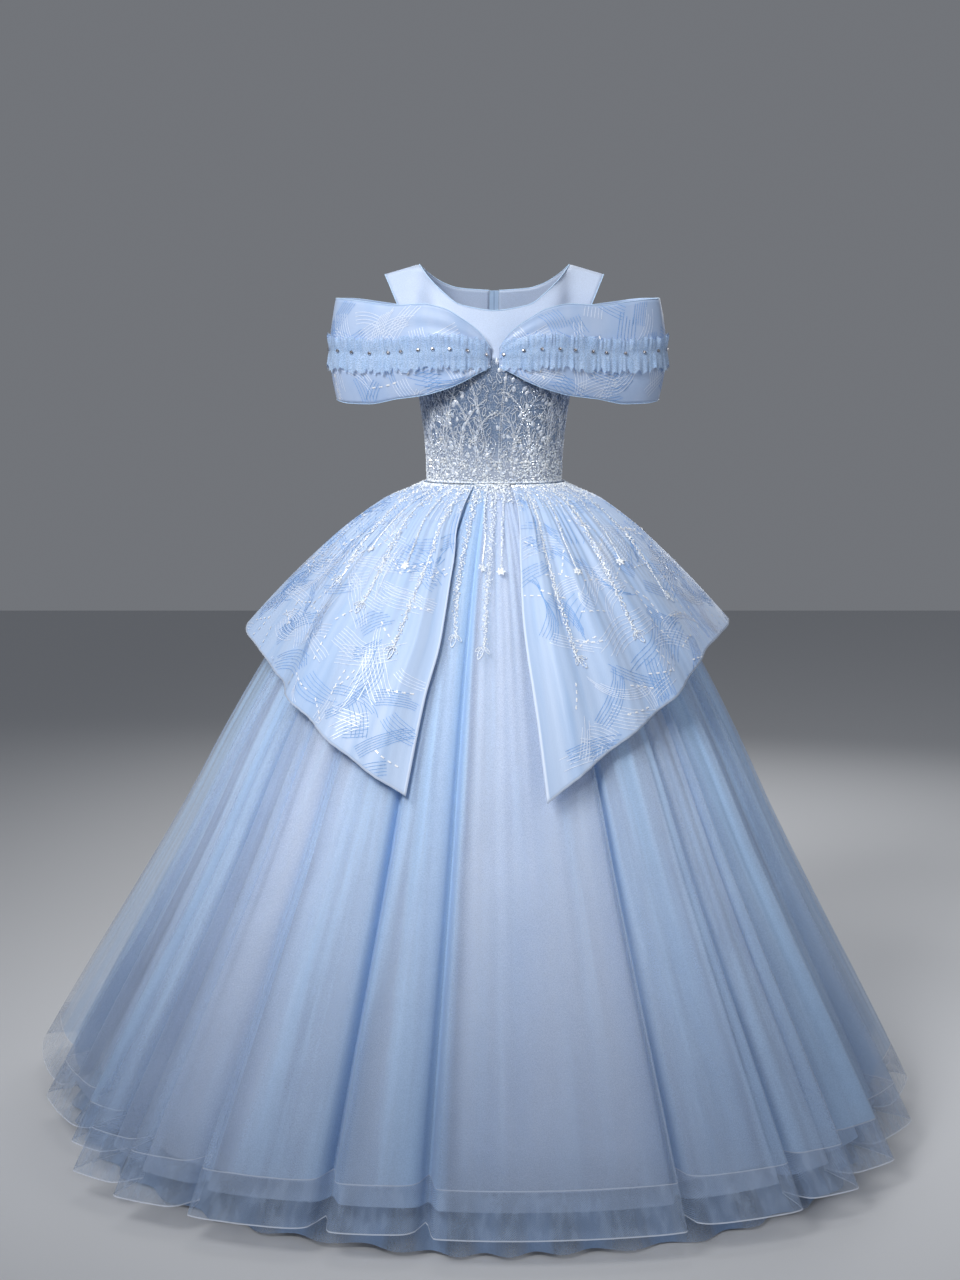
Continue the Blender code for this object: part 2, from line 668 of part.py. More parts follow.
def petal(name, side, edge, size, behind):
    """One gathered petal from its inner edge to the side, with its point at the foot of that edge."""
    rows, columns, flutes = size
    hem = PETAL_HEM[side]
    hem_start = hem[0].turn
    grid = []
    for row in range(rows + 1):
        down = (row / rows) ** PETAL_ROW_POWER
        points = []
        for column in range(columns + 1):
            across = column / columns
            start = along(edge, "turn", down)
            turn = start + (90 - start) * across
            hem_drop = along(hem, "drop", hem_start + (90 - hem_start) * across)
            drop = PETAL_TOP_DROP + (hem_drop - PETAL_TOP_DROP) * down
            flute = PETAL_FLUTE * (1 - cos(2 * pi * flutes * across)) / 2 * min(down * 3, 1)
            turn = 180 - turn if behind else turn
            points.append(petal_point(side, turn, drop, across ** PETAL_SIDE_POWER, flute))
        grid.append(points)
    outer = np.array(grid)
    skins = [drawn_in(skin, ("right",)) for skin in (outer, lining_of(outer, SATIN))]
    cloth(name, *skins, "glitter_tulle")


def overskirt():
    """Two front petals and two plainer back ones, gathered into the waist seam."""
    for side in "LR":
        petal("overskirt_front_" + side, side, FRONT_PETAL_EDGE[side], FRONT_PETAL_GRID, False)
        petal("overskirt_back_" + side, side, BACK_PETAL_EDGE, BACK_PETAL_GRID, True)


def placed(name, mesh, frame):
    """An object from a mesh drawn in the slider's frame, with its origin on the pull's pivot."""
    data = bpy.data.meshes.new(name)
    mesh.to_mesh(data)
    mesh.free()
    piece = bpy.data.objects.new(name, data)
    bpy.context.scene.collection.objects.link(piece)
    piece.matrix_world = frame
    return piece


def block(name, low, high, frame):
    mesh = bmesh.new()
    low, high = np.array(low), np.array(high)
    bmesh.ops.create_cube(mesh, size=1.0)
    bmesh.ops.scale(mesh, vec=tuple(high - low), verts=mesh.verts)
    bmesh.ops.translate(mesh, vec=tuple((high + low) / 2), verts=mesh.verts)
    return placed(name, mesh, frame)


def combine(target, helper, operation):
    change = target.modifiers.new(helper.name, "BOOLEAN")
    change.operation = operation
    change.object = helper
    helper.hide_render = True
    helper.display_type = "WIRE"


def zip_slider(frame):
    """Slider body with the bridge that holds the pull, both in the pivot's frame."""
    face = -BRIDGE_CLEARANCE / 2
    half = SLIDER_LENGTH / 2
    body = block("zip_slider", (-SLIDER_WIDTH / 2, face - SLIDER_THICKNESS, -half - PIVOT_UP),
                 (SLIDER_WIDTH / 2, face, half - PIVOT_UP), frame)
    wide = BRIDGE_WIDTH / 2
    crown = face + BRIDGE_CLEARANCE + BRIDGE_THICKNESS
    bridge = block("bridge", (-wide, face - SLIDER_THICKNESS / 3, BRIDGE_FOOT - PIVOT_UP),
                   (wide, crown, BRIDGE_TOP - PIVOT_UP), frame)
    window = block("bridge_window", (-2 * wide, face, BRIDGE_FOOT - PIVOT_UP + BRIDGE_THICKNESS),
                   (2 * wide, face + BRIDGE_CLEARANCE, BRIDGE_TOP - PIVOT_UP - BRIDGE_THICKNESS), frame)
    combine(body, bridge, "UNION")
    combine(body, window, "DIFFERENCE")
    body.data.materials.append(finish("zip_metal"))


def zip_pull(frame):
    """Flat tab whose upper crossbar turns under the bridge, rounded at its foot."""
    half = PULL_WIDTH / 2
    crossbar = PULL_THICKNESS / 2
    outline = [(-half, crossbar)]
    for step in range(9):
        turn = pi + pi * step / 8
        outline.append((half * cos(turn), half - PULL_LENGTH + half * sin(turn)))
    outline.append((half, crossbar))
    mesh = bmesh.new()
    face = mesh.faces.new([mesh.verts.new((x, -crossbar, z)) for x, z in outline])
    moved = bmesh.ops.extrude_face_region(mesh, geom=[face])["geom"]
    front = [item for item in moved if isinstance(item, bmesh.types.BMVert)]
    bmesh.ops.translate(mesh, vec=(0, PULL_THICKNESS, 0), verts=front)
    bmesh.ops.recalc_face_normals(mesh, faces=mesh.faces)
    tab = placed("zip_pull", mesh, frame)
    eye = block("pull_eye", (-EYE_WIDTH / 2, -0.005, -EYE_LENGTH), (EYE_WIDTH / 2, 0.005, -crossbar), frame)
    combine(tab, eye, "DIFFERENCE")
    tab.data.materials.append(finish("zip_metal"))


def zip_fastener(back_yoke):
    """Tape between the backs, closed to the neck, with its slider and the pull that hangs from it."""
    edges = [torso(ZIP_EDGE, height) for height in BODICE_HEIGHTS[:-1]]
    edges += list(back_yoke[:, -1])
    right = np.array(edges) - np.array([1.5 * SEAM, 0.0, 0.0])
    outer = np.stack([right, right * np.array([-1.0, 1.0, 1.0])], axis=1)
    outer = drawn_in(outer, ("top",))
    cloth("zip_tape", outer, outer - np.array([0.0, TULLE, 0.0]), "zip_tape")
    foot, top = back_yoke[0, -1], back_yoke[-1, -1]
    seat = foot + (top - foot) * (SLIDER_HEIGHT - foot[2]) / (top[2] - foot[2])
    lean = np.arctan2(foot[1] - top[1], top[2] - foot[2])
    pivot_out = SEAM + SLIDER_THICKNESS + BRIDGE_CLEARANCE / 2
    frame = Matrix.Translation((0, seat[1], seat[2])) @ Matrix.Rotation(lean, 4, "X")
    frame = frame @ Matrix.Translation((0, pivot_out, PIVOT_UP))
    zip_slider(frame)
    zip_pull(frame)


clear_scene()
bodice()
yoke_back = yoke()
bands()
skirt()
petticoat(underskirt())
overskirt()
zip_fastener(yoke_back)
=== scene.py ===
import math
import random

import bpy
import numpy as np
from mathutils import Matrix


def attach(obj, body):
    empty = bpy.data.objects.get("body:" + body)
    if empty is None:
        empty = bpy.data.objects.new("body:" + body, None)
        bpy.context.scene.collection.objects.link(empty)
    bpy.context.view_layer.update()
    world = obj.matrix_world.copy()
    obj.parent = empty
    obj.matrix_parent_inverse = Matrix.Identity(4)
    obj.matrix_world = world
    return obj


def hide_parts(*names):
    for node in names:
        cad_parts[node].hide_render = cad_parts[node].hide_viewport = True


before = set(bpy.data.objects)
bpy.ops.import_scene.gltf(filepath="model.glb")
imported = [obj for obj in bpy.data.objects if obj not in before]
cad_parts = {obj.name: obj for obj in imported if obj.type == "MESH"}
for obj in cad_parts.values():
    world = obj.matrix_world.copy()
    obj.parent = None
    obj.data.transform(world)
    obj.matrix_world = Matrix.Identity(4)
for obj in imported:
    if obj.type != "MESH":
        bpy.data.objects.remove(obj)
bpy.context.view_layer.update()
bpy.ops.object.select_all(action="DESELECT")

# Camera, floor and light: the gown stands with its petticoat on a plain pale floor, seen from
# the front at chest height and a little from above, under large soft studio lights.
bpy.ops.object.camera_add(location=(-0.026, -3.8, 0.25), rotation=(math.radians(81.815), 0, 0))
camera = bpy.context.object
camera.data.lens = 58.2
camera.data.sensor_width = 36
bpy.context.scene.camera = camera
bpy.context.scene.view_settings.view_transform = "Standard"


def feed(tree, socket, value):
    """Gives a socket a number or a colour, or links it to the output of another node."""
    if isinstance(value, bpy.types.NodeSocket):
        tree.links.new(value, socket)
    else:
        socket.default_value = (*value, 1) if isinstance(value, tuple) else value


def into_shader(tree, **sockets):
    """Feeds the named sockets of a material's Principled shader."""
    shader = tree.nodes["Principled BSDF"]
    for socket, value in sockets.items():
        feed(tree, shader.inputs[socket.replace("_", " ")], value)


def new_finish(name, **sockets):
    """A Principled material and its node tree, with plain values on the shader's sockets."""
    material = bpy.data.materials.new(name)
    material.use_nodes = True
    into_shader(material.node_tree, **sockets)
    return material, material.node_tree


bpy.ops.mesh.primitive_plane_add(size=14, location=(0, 0, -1.147))
floor = bpy.context.object
floor.name = "floor"
floor.data.materials.append(new_finish("floor_paper", Base_Color=(0.62, 0.63, 0.65), Roughness=0.9)[0])

world = bpy.data.worlds.new("studio")
world.use_nodes = True
backdrop = world.node_tree.nodes["Background"].inputs
feed(world.node_tree, backdrop["Color"], (0.40, 0.42, 0.46))
feed(world.node_tree, backdrop["Strength"], 0.42)
bpy.context.scene.world = world

# light: its place, the point that it faces, its width, its watts and its beam in degrees
LIGHTS = {
    "key_light": ((-1.5, -2.4, 1.95), (-0.02, 0, -0.20), 1.2, 14.5, 60),
    "fill_light": ((2.4, -2.4, 1.1), (0.05, 0, 0.05), 2.0, 4.8, 75),
    "top_light": ((-0.3, 0.5, 2.2), (0, 0, 0.1), 1.4, 7, 110),
    "back_light": ((0.8, 3.0, 1.2), (0, 0, -0.2), 2.0, 26, 150),
}
for name, (place, target, width, watts, beam) in LIGHTS.items():
    bpy.ops.object.light_add(type="AREA", location=place)
    light = bpy.context.object
    light.name = name
    light.data.size, light.data.energy, light.data.spread = width, watts, math.radians(beam)
    aim = np.array(target) - np.array(place)
    light.rotation_euler = (
        math.atan2(math.hypot(aim[0], aim[1]), -aim[2]), 0, math.atan2(aim[1], aim[0]) - math.pi / 2)


# Outer skirt: five gores of soft tulle that hang in broad folds from the gathered waist. Each
# fold has a flat crest with one sharp edge and a deep narrow valley beside it.
SQUARENESS = 2.4
HEM_DROP, BRAID_DEPTH, VALLEY_DEPTH = 1.098, 0.066, 0.055
WAIST_SIDE, WAIST_FRONT, WAIST_BACK = 0.122, 0.098, 0.084
# left end, right end (degrees from centre front), radius at each end, creased end
FOLDS = (
    (-176.0, -160.0, 0.815, 0.825, 1), (-155.0, -142.0, 0.845, 0.825, -1),
    (-138.0, -123.0, 0.850, 0.830, -1), (-119.0, -104.0, 0.855, 0.835, -1),
    (-98.0, -81.0, 0.890, 0.830, -1), (-76.0, -64.0, 0.838, 0.822, -1),
    (-59.5, -54.5, 0.842, 0.826, -1), (-51.6, -45.8, 0.892, 0.876, -1),
    (-43.0, -36.5, 0.900, 0.878, -1), (-33.4, -22.0, 0.880, 0.850, -1),
    (-18.0, -10.0, 0.838, 0.824, -1), (-6.6, 20.0, 0.828, 0.848, 0),
    (23.5, 34.0, 0.842, 0.862, 1), (37.0, 43.0, 0.844, 0.860, 1),
    (46.0, 52.5, 0.824, 0.840, 1), (56.0, 65.5, 0.790, 0.804, 1),
    (70.0, 82.0, 0.760, 0.776, 1), (87.0, 101.0, 0.755, 0.772, 1),
    (106.0, 119.0, 0.765, 0.785, 1), (124.0, 138.0, 0.785, 0.802, 1),
    (143.0, 155.0, 0.800, 0.820, 1), (160.0, 176.0, 0.825, 0.810, -1),
)
# drop below the waist, share of the way from the waist's radius to the hem's
SWELL = (
    (0.000, 0.000), (0.020, 0.040), (0.050, 0.095), (0.100, 0.170), (0.160, 0.243),
    (0.240, 0.325), (0.340, 0.413), (0.460, 0.507), (0.600, 0.608), (0.760, 0.733),
    (0.920, 0.862), (1.032, 0.950), (1.098, 1.000), (1.150, 1.036),
)
# soft troughs given one by one: turn, drop where it starts and ends, depth in mm, half width
# in degrees, and how far it wanders sideways
TROUGHS = (
    (-1.0, 0.20, 1.10, 3.0, 1.1, 2.0), (4.5, 0.45, 0.95, 2.0, 1.6, -1.5),
    (9.0, 0.15, 0.80, 3.0, 1.0, 1.0), (14.5, 0.50, 1.10, 2.5, 1.3, -2.0),
    (-14.0, 0.30, 1.10, 3.5, 0.7, 0.5), (-27.0, 0.25, 1.05, 4.0, 0.9, -2.0),
    (-30.5, 0.60, 1.10, 3.0, 0.6, 1.0), (-40.0, 0.20, 1.10, 3.5, 0.7, 1.5),
    (-49.0, 0.35, 1.00, 3.0, 0.8, -1.0), (-70.0, 0.20, 1.10, 4.0, 1.1, 2.0),
    (-88.0, 0.30, 1.10, 4.0, 1.3, -2.0), (28.0, 0.20, 1.10, 3.5, 0.9, 1.5),
    (31.5, 0.55, 1.10, 2.5, 0.6, 0.0), (40.0, 0.30, 1.05, 3.0, 0.7, -1.0),
    (49.0, 0.20, 1.10, 3.0, 0.7, 1.0), (60.0, 0.25, 1.10, 3.5, 0.9, -1.5),
    (76.0, 0.20, 1.10, 3.5, 1.0, 1.0), (94.0, 0.30, 1.10, 3.5, 1.2, -1.0),
)


def curve(rows, at):
    """A smooth curve through rows of (where, value) that never overshoots, read at many places."""
    where, value = np.array(rows, float).T
    rise = np.diff(value) / np.diff(where)
    both = rise[1:] * rise[:-1]
    slope = np.concatenate([rise[:1], np.zeros(len(where) - 2), rise[-1:]])
    total = np.where(both > 0, rise[1:] + rise[:-1], 1)
    slope[1:-1] = np.where(both > 0, 2 * both / total, 0)
    at = np.clip(at, where[0], where[-1])
    i = np.clip(np.searchsorted(where, at, side="right") - 1, 0, len(where) - 2)
    span = where[i + 1] - where[i]
    t = (at - where[i]) / span
    start = (1 + 2 * t) * (1 - t) ** 2 * value[i] + t * (1 - t) ** 2 * span * slope[i]
    return start + t * t * (3 - 2 * t) * value[i + 1] + t * t * (t - 1) * span * slope[i + 1]


def curves(table, at):
    """Each column of a table of (where, value, value ...), read as a curve of its own."""
    where, *columns = zip(*table)
    return [curve(list(zip(where, column)), at) for column in columns]


def round_and_round(rows):
    """Rows of (turn, value) repeated before and after, so that the curve closes on itself."""
    rows = sorted(rows)
    return [(t - 360, v) for t, v in rows] + rows + [(t + 360, v) for t, v in rows]


def polar(turn, radius, height):
    turn, radius, height = np.broadcast_arrays(turn, radius, height)
    return np.stack([radius * np.sin(np.radians(turn)), -radius * np.cos(np.radians(turn)), height], -1)


def waist_radius(turn):
    ahead, across = np.cos(np.radians(turn)), np.sin(np.radians(turn))
    depth = np.where(ahead > 0, WAIST_FRONT, WAIST_BACK)
    total = abs(across / WAIST_SIDE) ** SQUARENESS + abs(ahead / depth) ** SQUARENESS
    return total ** (-1 / SQUARENESS)


# share of a fold's width, from its creased end, and how far the hem sinks inwards there
CREASED = ((0.0, 0.002), (0.06, 0.0), (0.33, 0.0), (0.67, 0.002), (1.0, 0.006), (1.14, 0.022))
ROUNDED = ((0.0, 0.0), (0.25, 0.003), (0.5, 0.005), (0.75, 0.003), (1.0, 0.0))


def fold_rows():
    """The hem's radius round the outer skirt, and the radius of its valleys alone."""
    hem, valleys = [], []
    for i, (left, right, left_radius, right_radius, crease) in enumerate(FOLDS):
        before = FOLDS[i - 1]
        gap = before[1] - (360 if i == 0 else 0)
        valleys.append(((gap + left) / 2, min(before[3], left_radius) - VALLEY_DEPTH))
        hem.append(valleys[-1])
        for share, sink in CREASED if crease else ROUNDED:
            share = 1 - share if crease == 1 else share
            level = left_radius + (right_radius - left_radius) * min(max(share, 0), 1)
            hem.append((left + (right - left) * share, level - sink))
    return round_and_round(hem), round_and_round(valleys)


HEM_ROWS, VALLEY_ROWS = fold_rows()
CREST_ROWS = round_and_round([((f[0] + f[1]) / 2, max(f[2], f[3])) for f in FOLDS])
TROUGH_DICE = random.Random(4)
BACK_TROUGHS = [
    (turn + TROUGH_DICE.uniform(-2, 2), TROUGH_DICE.uniform(0.15, 0.5), TROUGH_DICE.uniform(0.9, 1.15),
     TROUGH_DICE.uniform(2, 4), TROUGH_DICE.uniform(0.6, 1.4), TROUGH_DICE.uniform(-2, 2))
    for turn in list(range(102, 180, 7)) + list(range(-176, -98, 7))
]


def troughs(turn, drop):
    """Depth of the soft troughs, and of the fine gathers that run out below the waist."""
    depth = np.zeros(np.broadcast(turn, drop).shape)
    for place, start, end, deep, wide, drift in list(TROUGHS) + BACK_TROUGHS:
        along = np.clip((drop - start) / (end - start), 0, 1)
        off = (turn - place - drift * along + 180) % 360 - 180
        depth += deep * 0.001 * np.exp(-(off / wide) ** 2) * np.sin(math.pi * np.sqrt(along)) ** 0.7
    t = np.radians(turn)
    fine = 1 + np.sin(67 * t + 2.1 * np.sin(3 * t) + 1.4 * np.sin(7 * t))
    finer = 1 + np.sin(131 * t + 2.6 * np.sin(5 * t))
    fade = np.clip(drop / 0.02, 0, 1) * np.exp(-(drop / 0.30) ** 2)
    long_fade = np.clip(drop / 0.1, 0, 1) * np.exp(-(drop / 0.8) ** 2)
    return depth + 0.0012 * fade * (fine + 0.5 * finer) + 0.0007 * long_fade * finer


def skirt_radius(turn, hem_radius, drop):
    waist = waist_radius(turn)
    return waist + curve(SWELL, drop) * (hem_radius - waist)


def layer(turn, drop, fullness, ease):
    """Points of one skirt layer: its folds are as deep as its fullness, drawn in by its ease."""
    share = curve(SWELL, drop)
    valley = curve(VALLEY_ROWS, turn)
    hem = valley + fullness * (curve(HEM_ROWS, turn) - valley)
    radius = skirt_radius(turn, hem, drop) - troughs(turn, drop) * (0.4 + 0.6 * fullness)
    return polar(turn, radius - ease * (0.12 + share), -drop)


def alone(piece):
    """Selects one piece and nothing else, for the operators that follow."""
    bpy.ops.object.select_all(action="DESELECT")
    piece.select_set(True)
    bpy.context.view_layer.objects.active = piece


def placed(name, data):
    """A new piece of a mesh or a curve, which is then all that is selected."""
    piece = bpy.data.objects.new(name, data)
    bpy.context.scene.collection.objects.link(piece)
    alone(piece)
    return piece


def dressed(piece, finish, node=None):
    """A piece in its finish, riding on the gown; it may stand for a solid of the CAD model."""
    piece.data.materials.append(finish)
    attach(piece, "gown")
    if node:
        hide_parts(node)
    return piece


def cloth_piece(name, points, across, down, finish, node=None, closed=False, bunch=None, wall=0.0):
    """Cloth through a grid of points, with its own UV map; bunch is how closely it is gathered."""
    rows, columns = points.shape[:2]
    i, j = np.meshgrid(np.arange(rows - 1), np.arange(columns if closed else columns - 1), indexing="ij")
    k = (j + 1) % columns
    faces = np.stack([i * columns + j, i * columns + k, (i + 1) * columns + k, (i + 1) * columns + j], -1)
    corner_u = np.stack([across[j], across[k] + (k < j), across[k] + (k < j), across[j]], -1)
    corner_v = np.stack([down[i], down[i], down[i + 1], down[i + 1]], -1)
    faces, corner_u, corner_v = (a.reshape(-1, 4) for a in (faces, corner_u, corner_v))
    a, b, c = (points.reshape(-1, 3)[faces[:, n]] for n in (0, 1, 3))
    out = np.cross(b - a, c - a) * a
    if out[:, :2].sum() < 0:
        faces, corner_u, corner_v = faces[:, ::-1], corner_u[:, ::-1], corner_v[:, ::-1]
    mesh = bpy.data.meshes.new(name)
    mesh.from_pydata(points.reshape(-1, 3).tolist(), [], faces.tolist())
    uv = mesh.uv_layers.new(name="cloth")
    uv.data.foreach_set("uv", np.stack([corner_u, corner_v], -1).ravel())
    if bunch is not None:
        mesh.attributes.new("bunch", "FLOAT", "POINT").data.foreach_set("value", bunch.ravel())
    mesh.shade_smooth()
    piece = placed(name, mesh)
    if wall:
        solid = piece.modifiers.new("wall", "SOLIDIFY")
        solid.thickness, solid.offset = wall, -1
        bpy.ops.object.modifier_apply(modifier="wall")
    return dressed(piece, finish, node)


def wire(tree, kind, sockets=None, **settings):
    """A node with its settings; a socket takes a value, or the output of another node."""
    made = tree.nodes.new(kind)
    for setting, value in settings.items():
        setattr(made, setting, value)
    for socket, value in (sockets or {}).items():
        feed(tree, made.inputs[socket], value)
    return made


def sums(tree, operation, a, b):
    return wire(tree, "ShaderNodeMath", {0: a, 1: b}, operation=operation).outputs[0]


def ramp(tree, value, low, high, out_low=0.0, out_high=1.0):
    """A value that runs smoothly between two levels as another rises."""
    return wire(tree, "ShaderNodeMapRange", {
        "Value": value, "From Min": low, "From Max": high, "To Min": out_low, "To Max": out_high,
    }, interpolation_type="SMOOTHSTEP").outputs["Result"]


def blend_colours(tree, share, first, second):
    mixer = wire(tree, "ShaderNodeMix", {0: share}, data_type="RGBA")
    for socket, colour in (("A_Color", first), ("B_Color", second)):
        feed(tree, next(s for s in mixer.inputs if s.identifier == socket), colour)
    return next(s for s in mixer.outputs if s.identifier == "Result_Color")


def relief(tree, strength, distance, height):
    """The normal of a surface that a height raises."""
    return wire(tree, "ShaderNodeBump",
                {"Strength": strength, "Distance": distance, "Height": height}).outputs["Normal"]


def on_cloth(tree):
    """The place across a cloth and the place down it, from its own UV map."""
    split = wire(tree, "ShaderNodeSeparateXYZ", {0: tree.nodes.new("ShaderNodeUVMap").outputs["UV"]})
    return split.outputs["X"], split.outputs["Y"]


def effect(name, given, *put):
    """A node group that takes one number and puts out others, with its sockets ready to wire."""
    group = bpy.data.node_groups.new(name, "ShaderNodeTree")
    group.interface.new_socket(given, in_out="INPUT", socket_type="NodeSocketFloat")
    for socket in put:
        group.interface.new_socket(socket, in_out="OUTPUT", socket_type="NodeSocketFloat")
    return group, group.nodes.new("NodeGroupInput").outputs[0], group.nodes.new("NodeGroupOutput").inputs


# fine thread and soft unevenness of any cloth, on the gown's own coordinates
FIBRES, scale, put = effect("fibres", "Thread Scale", "Thread", "Uneven")
place = FIBRES.nodes.new("ShaderNodeTexCoord").outputs["Object"]
for socket, size, detail in (("Thread", scale, 2.0), ("Uneven", 7.0, 3.0)):
    noise = wire(FIBRES, "ShaderNodeTexNoise", {"Vector": place, "Scale": size, "Detail": detail})
    feed(FIBRES, put[socket], noise.outputs["Fac"])

# fine lines that run down gathered cloth, as its threads draw together
STREAKS, scale, put = effect("gather_lines", "Lines Across", "Line")
across, down = on_cloth(STREAKS)
place = wire(STREAKS, "ShaderNodeCombineXYZ", {
    0: sums(STREAKS, "MULTIPLY", across, scale), 1: sums(STREAKS, "MULTIPLY", down, 1.7)}).outputs[0]
noise = {"Vector": place, "Scale": 1.0, "Detail": 3.0, "Roughness": 0.5}
feed(STREAKS, put["Line"], wire(STREAKS, "ShaderNodeTexNoise", noise).outputs["Fac"])


def fibres(tree, scale):
    made = wire(tree, "ShaderNodeGroup", {"Thread Scale": scale}, node_tree=FIBRES)
    return made.outputs["Thread"], made.outputs["Uneven"]


def gather_lines(tree, across):
    return wire(tree, "ShaderNodeGroup", {"Lines Across": across}, node_tree=STREAKS).outputs["Line"]


def painted_shade_to_the_hem(tree, colour):
    """A colour darkened by painted shade down the lower half of a skirt, standing in for the light
    falling off towards the hem.
    """
    low = ramp(tree, on_cloth(tree)[1], 0.40, 1.05, 0.0, 0.56)
    return blend_colours(tree, low, colour, (0.22, 0.32, 0.51))


def tulle_finish(name, pale, deep, sheer, dense, lines):
    """Tulle that is paler and sheerer on a fold's crest, bluer and denser where it bunches."""
    material, tree = new_finish(name, Roughness=0.62, Sheen_Weight=0.25, Sheen_Roughness=0.5)
    thread, uneven = fibres(tree, 520.0)
    line = gather_lines(tree, lines)
    bunch = wire(tree, "ShaderNodeAttribute", attribute_name="bunch").outputs["Fac"]
    drawn = sums(tree, "MULTIPLY", bunch, 0.85)
    drawn = sums(tree, "ADD", drawn, ramp(tree, line, 0.40, 0.70, -0.10, 0.26))
    drawn = ramp(tree, drawn, 0.0, 0.95)
    weight = sums(tree, "ADD", ramp(tree, drawn, 0.0, 1.0, sheer, dense),
                  ramp(tree, uneven, 0.3, 0.7, -0.04, 0.04))
    # painted shade darkens the tulle's colour towards the hem
    into_shader(tree, Base_Color=painted_shade_to_the_hem(tree, blend_colours(tree, drawn, pale, deep)),
                Alpha=sums(tree, "ADD", weight, ramp(tree, thread, 0.35, 0.65, -0.05, 0.05)),
                Normal=relief(tree, 0.25, 0.002, line))
    return material


OUTER_TULLE = tulle_finish("outer_tulle", (0.63, 0.74, 0.92), (0.49, 0.70, 0.98), 0.17, 0.60, 90.0)
SKIRT_TURNS = np.linspace(-180, 180, 961)[:-1]
GORES = {  # valleys where each gore starts and ends
    "back_L": (0, 4), "side_L": (4, 10), "front": (10, 12), "side_R": (12, 18), "back_R": (18, 22),
}
valley_turns = [row[0] for row in VALLEY_ROWS[len(FOLDS):2 * len(FOLDS)]]
valley_turns.append(valley_turns[0] + 360)

# turn, and how closely the tulle is drawn together there, which deepens its blue
DRAWN_TOGETHER = round_and_round((
    (-176, 0.25), (-160, 0.45), (-140, 0.15), (-120, 0.45), (-100, 0.30), (-88, 0.50), (-70, 0.20),
    (-61, 0.42), (-54, 0.48), (-48, 0.22), (-40, 0.05), (-34, 0.12), (-27, 0.40), (-20, 0.55),
    (-14, 0.45), (-9, 0.60), (-6.8, 0.55), (-5.2, 0.03), (8, 0.0), (16, 0.06), (23, 0.28),
    (30, 0.50), (40, 0.26), (49, 0.70), (60, 0.42), (76, 0.66), (95, 0.40), (112, 0.18),
    (130, 0.42), (150, 0.16), (168, 0.40),
))


def bunching(turn, drop):
    """How far down between the crests each point lies, from 0 on a crest to 1 in a valley."""
    hem, valley = curve(HEM_ROWS, turn), curve(VALLEY_ROWS, turn)
    crest = np.maximum(curve(CREST_ROWS, turn), valley + 0.03)
    deep = np.clip((crest - hem) / (crest - valley), 0, 1)
    return np.clip(0.5 * deep + curve(DRAWN_TOGETHER, turn) + 60 * troughs(turn, drop), 0, 1.4)


def skirt_grid(turns, drops, fullness, ease):
    turn, drop = turns[None, :], drops[:, None]
    return layer(turn, drop, fullness, ease), bunching(turn, drop) + 0 * drop


SKIRT_DROPS = np.concatenate([np.linspace(0, 0.12, 13), np.linspace(0.14, HEM_DROP - BRAID_DEPTH, 40)])
# width of tulle gathered into one round of the skirt, its length, and the share of such a
# rectangle that flared gores take up
ROUND_CUT, LENGTH_CUT, GORE_SHARE = 5.5, 1.22, 0.62
for gore, (first, last) in GORES.items():
    left, right = valley_turns[first], valley_turns[last]
    turns = np.linspace(left + 0.02, right - 0.02, int((right - left) * 2.8))
    points, bunch = skirt_grid(turns, SKIRT_DROPS, 1.0, 0.0)
    tulle = cloth_piece("tulle_" + gore, points, turns / 360, SKIRT_DROPS / HEM_DROP,
                        OUTER_TULLE, "skirt_" + gore, bunch=bunch)
    width = (right - left) / 360 * ROUND_CUT

# Hem braid: stiff translucent horsehair braid sewn flat round the outer hem, with a bright
# stitched line along its top and its bottom edge.
braid_finish, tree = new_finish("horsehair_braid", Roughness=0.32, Sheen_Weight=0.2)
across, down = on_cloth(tree)
edge = sums(tree, "MAXIMUM", ramp(tree, down, 0.962, 0.98), ramp(tree, down, 0.036, 0.016, 0.0, 0.7))
slant = wire(tree, "ShaderNodeCombineXYZ", {
    0: sums(tree, "MULTIPLY", across, 900.0), 1: sums(tree, "MULTIPLY", down, 14.0)})
mesh_lines = wire(
    tree, "ShaderNodeTexWave", {"Vector": slant.outputs[0], "Scale": 1.0, "Distortion": 0.6},
    bands_direction="DIAGONAL").outputs["Fac"]
body = sums(tree, "ADD", ramp(tree, gather_lines(tree, 300.0), 0.35, 0.7, 0.20, 0.40),
            sums(tree, "MULTIPLY", mesh_lines, 0.10))
into_shader(tree, Base_Color=blend_colours(tree, edge, (0.36, 0.47, 0.66), (0.72, 0.79, 0.92)),
            Alpha=sums(tree, "MAXIMUM", body, sums(tree, "MULTIPLY", edge, 0.70)))
braid_drops = np.linspace(HEM_DROP - BRAID_DEPTH + 0.0003, HEM_DROP, 9)
points = layer(SKIRT_TURNS[None, :], braid_drops[:, None], 1.0, 0.0)
braid = cloth_piece("horsehair_braid", points, (SKIRT_TURNS + 180) / 360, np.linspace(0, 1, 9),
                    braid_finish, "hem_braid", closed=True)

# Inner skirts: a denser layer of tulle that follows the outer folds, and below it the closed
# skirt of pale satin that shows through both.
INNER_TULLE = tulle_finish("inner_tulle", (0.65, 0.74, 0.91), (0.47, 0.67, 0.96), 0.42, 0.86, 50.0)
inner_drops = np.concatenate([np.linspace(0.004, 0.12, 12), np.linspace(0.14, 1.074, 20)])
points, bunch = skirt_grid(SKIRT_TURNS, inner_drops, 0.55, 0.011)
inner = cloth_piece("inner_tulle", points, (SKIRT_TURNS + 180) / 360, inner_drops / HEM_DROP,
                    INNER_TULLE, closed=True, bunch=bunch)

